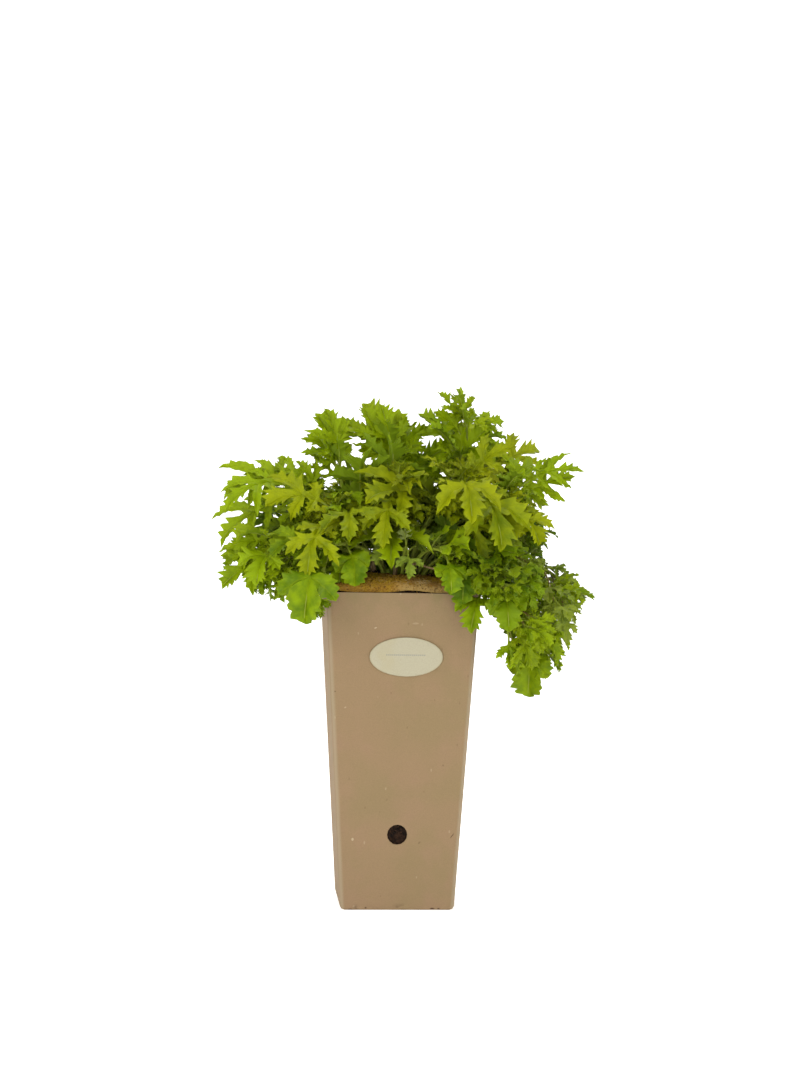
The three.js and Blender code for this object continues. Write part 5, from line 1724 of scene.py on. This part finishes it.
# A ribbed dry stem with a splintered rim and a hollow pith
def makeStub(index, stub):
    form = stubForm
    bm = bmesh.new()
    rootX, rootY = stub["root"]
    level = soilHeight(rootX, rootY)
    foot = Vector((rootX, rootY, level - form["depth"]))
    top = Vector((rootX + stub["lean"][0] * stub["height"], rootY + stub["lean"][1] * stub["height"],
                  level + stub["height"]))
    rings, sides = form["rings"], form["sides"]
    last = rings + form["inner"]

    def placeOf(vert, i, j):
        turn = 2 * pi * (j % sides) / sides
        share = clamp((i - 1) / (rings - 1))
        way = flatWay(turn)
        rib = 1 + form["ribDepth"] * cos(form["ribs"] * turn)
        radius = stub["radius"] * rib * lerp(form["foot"], form["rim"], share)
        place = foot.lerp(top, share)
        offset = Vector((0, 0, index * form["seedStep"]))
        splinter = form["splinter"] * noise.noise(way * form["splinterRate"] + offset)
        place.z += ((0 if i == last else splinter) - form["worn"]) * share ** 4
        if i > rings:
            radius *= form["pith"]
            place.z -= form["hollow"] * (i - rings - 1)
        return place + way * (0 if i in (0, last) else radius)

    made = addGrid(bm, last, sides, placeOf)
    bmesh.ops.remove_doubles(bm, verts=made, dist=merge["tube"])
    bmesh.ops.recalc_face_normals(bm, faces=bm.faces)
    name = "old_stub_" + str(index + 1)
    makePiece("dry_" + name, bm, [drySkin], [name])


for index, stub in enumerate(stubs):
    makeStub(index, stub)

# CRUMBS, LOOSE FIBRES AND DRY TWIGS
lump = dict(least=0.65, most=1.2, flat=0.75, sharp=20)
crumbs = dict(seed=61, count=240, small=0.5, large=1.7, overHole=1.5, rise=0.25, vent=16, ventDepth=1.9,
              ventRim=1.2, ventSlope=0.06, ventSmall=0.4, ventLarge=0.95)
# Fibres lie all over the mat, and a share of them where its front edge is torn
strands = dict(seed=73, count=230, short=3.5, long=13, thin=0.11, thick=0.26, tornShare=0.4, tornFrom=2,
               tornTo=30,
               tornDeep=4, beyond=0.6, bend=2.4, arch=1.4, steps=5, sides=4, rise=0.1, taper=0.6, hang=0.55,
               hangPower=1.4)
felt = dict(seed=89, inwardPower=1.6, inset=0.5, edge=0.8, sunk=0.1)
twigs = [
    dict(points=((3, -13, 212), (6, -22, 221), (12, -33, 219), (31, -41, 209.6)), base=0.8, tip=0.45),
    dict(points=((-22, -8, 211), (-30, -16, 219), (-32, -26, 216), (-27, -38, 209.6)), base=0.6, tip=0.35),
    dict(points=((10, 14, 212), (16, 24, 220), (20, 32, 217), (12, 40, 209)), base=0.7, tip=0.4),
]
twigForm = dict(steps=14, sides=8, knot=0.35, knotAt=0.45, knotReach=0.04, wave=0.5, waveRate=17)


def matTop(x, y):
    edge = mat["half"] - 0.4
    return matHeight(clamp(x, -edge, edge), clamp(y, -edge, edge)) + mat["thickness"] / 2


def addLump(bm, place, size, draws):
    made = bmesh.ops.create_icosphere(bm, subdivisions=1, radius=size)["verts"]
    for vert in made:
        vert.co *= lerp(lump["least"], lump["most"], next(draws))
        vert.co.z *= lump["flat"]
        vert.co += place


# Compost crumbs round the stems, and those that show in the vent
def makeCrumbs():
    draws = drawsFrom(crumbs["seed"])
    bm = bmesh.new()
    for _ in range(crumbs["count"]):
        angle = 2 * pi * next(draws)
        reach = (matHole(angle) + crumbs["overHole"]) * math.sqrt(next(draws))
        size = lerp(crumbs["small"], crumbs["large"], next(draws) ** 2)
        x, y = reach * cos(angle), reach * sin(angle)
        level = soilHeight(x, y) if reach < matHole(angle) - crumbs["overHole"] else matTop(x, y)
        addLump(bm, Vector((x, y, level + size * crumbs["rise"])), size, draws)
    ventX, ventZ = potSize["ventX"], potSize["ventZ"]
    front = crumbs["ventDepth"] - potHalf(ventZ)
    for _ in range(crumbs["vent"]):
        angle = 2 * pi * next(draws)
        reach = (potSize["ventRadius"] - crumbs["ventRim"]) * math.sqrt(next(draws))
        place = Vector((ventX + reach * cos(angle), front, ventZ + reach * sin(angle)))
        place.y -= crumbs["ventSlope"] * (place.z - ventZ)
        addLump(bm, place, lerp(crumbs["ventSmall"], crumbs["ventLarge"], next(draws)), draws)
    makePiece("soil_crumbs", bm, [earthSkin], sharp=lump["sharp"])


# A fibre that lies on the mat, arched a little, with its ends down
def addFibre(bm, x, y, heading, length, bend, radius, arch):
    rings = []
    for i in range(strands["steps"] + 1):
        share = i / strands["steps"]
        turn = heading + bend * (share - 0.5)
        along = (share - 0.5) * length
        place = Vector((x + along * cos(turn), y + along * sin(turn), 0))
        beyond = max(0, max(abs(place.x), abs(place.y)) - mat["half"])
        level = matTop(place.x, place.y) + strands["rise"] + arch * sin(pi * share)
        place.z = level - strands["hang"] * beyond ** strands["hangPower"]
        rings.append((place, radius * lerp(1, strands["taper"], share), Vector((-sin(turn), cos(turn), 0)),
                      Vector((0, 0, 1))))
    addTube(bm, rings, strands["sides"])


def makeFibres():
    draws = drawsFrom(strands["seed"])
    bm = bmesh.new()
    for i in range(strands["count"]):
        if next(draws) < strands["tornShare"]:
            x = lerp(strands["tornFrom"], strands["tornTo"], next(draws))
            y = -mat["half"] + strands["tornDeep"] * next(draws) ** 2
        else:
            angle = 2 * pi * next(draws)
            outer = squareReach(mat["half"] + strands["beyond"], angle)
            reach = lerp(matHole(angle), outer, math.sqrt(next(draws)))
            x, y = reach * cos(angle), reach * sin(angle)
        heading = 2 * pi * next(draws)
        length = lerp(strands["short"], strands["long"], next(draws) ** 2)
        bend = jitter(draws, strands["bend"])
        radius = lerp(strands["thin"], strands["thick"], next(draws) ** 2)
        addFibre(bm, x, y, heading, length, bend, radius, strands["arch"] * next(draws) ** 2)
    bmesh.ops.recalc_face_normals(bm, faces=bm.faces)
    makePiece("loose_fibres", bm, [fibreSkin])


# Crumbs of the mat's own felt, close together on its edge and wider apart further in
def makeFelt():
    draws = drawsFrom(felt["seed"])
    bm = bmesh.new()
    for _ in range(mat["crumbs"]):
        angle = 2 * pi * next(draws)
        outer = squareReach(mat["half"], angle)
        inward = mat["crumbBand"] * next(draws) ** felt["inwardPower"]
        size = lerp(mat["smallCrumb"], mat["largeCrumb"], next(draws) ** 2)
        reach = outer - mat["roundEdge"] - felt["inset"] - inward
        x, y = reach * cos(angle), reach * sin(angle)
        level = matTop(x, y)
        if inward < felt["edge"]:
            side = 2 * next(draws) - 1
            reach = outer - felt["inset"] - mat["roundEdge"] * max(0, side) ** 2
            x, y = reach * cos(angle), reach * sin(angle)
            level = matHeight(x, y) + side * mat["thickness"] / 2
        addLump(bm, Vector((x, y, level - size * felt["sunk"])), size, draws)
    makePiece("felt_crumbs", bm, [matSkin], sharp=lump["sharp"])


# Dry twigs on the mat, each with a knot and a slight wave
def makeTwigs():
    form = twigForm
    bm = bmesh.new()
    for index, twig in enumerate(twigs):
        line = dict(points=[Vector(p) for p in twig["points"]])
        rings = []
        for i in range(form["steps"] + 1):
            share = i / form["steps"]
            way = curveTangent(line, share)
            side = way.cross(Vector((0, 0, 1))).normalized()
            knot = 1 + form["knot"] * math.exp(-((share - form["knotAt"]) / form["knotReach"]) ** 2)
            wave = form["wave"] * sin(share * form["waveRate"] + index)
            place = curvePoint(line, share) + Vector((0, 0, wave))
            rings.append((place, lerp(twig["base"], twig["tip"], share) * knot, side, side.cross(way)))
        addTube(bm, rings, form["sides"])
    bmesh.ops.recalc_face_normals(bm, faces=bm.faces)
    makePiece("dry_twigs", bm, [drySkin])


makeCrumbs()
makeFibres()
makeFelt()
makeTwigs()
print("stubs, crumbs, fibres and twigs are made")

triangles = sum(sum(len(p.vertices) - 2 for p in o.data.polygons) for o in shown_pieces() if o.type == "MESH")
print("triangles in all:", triangles)
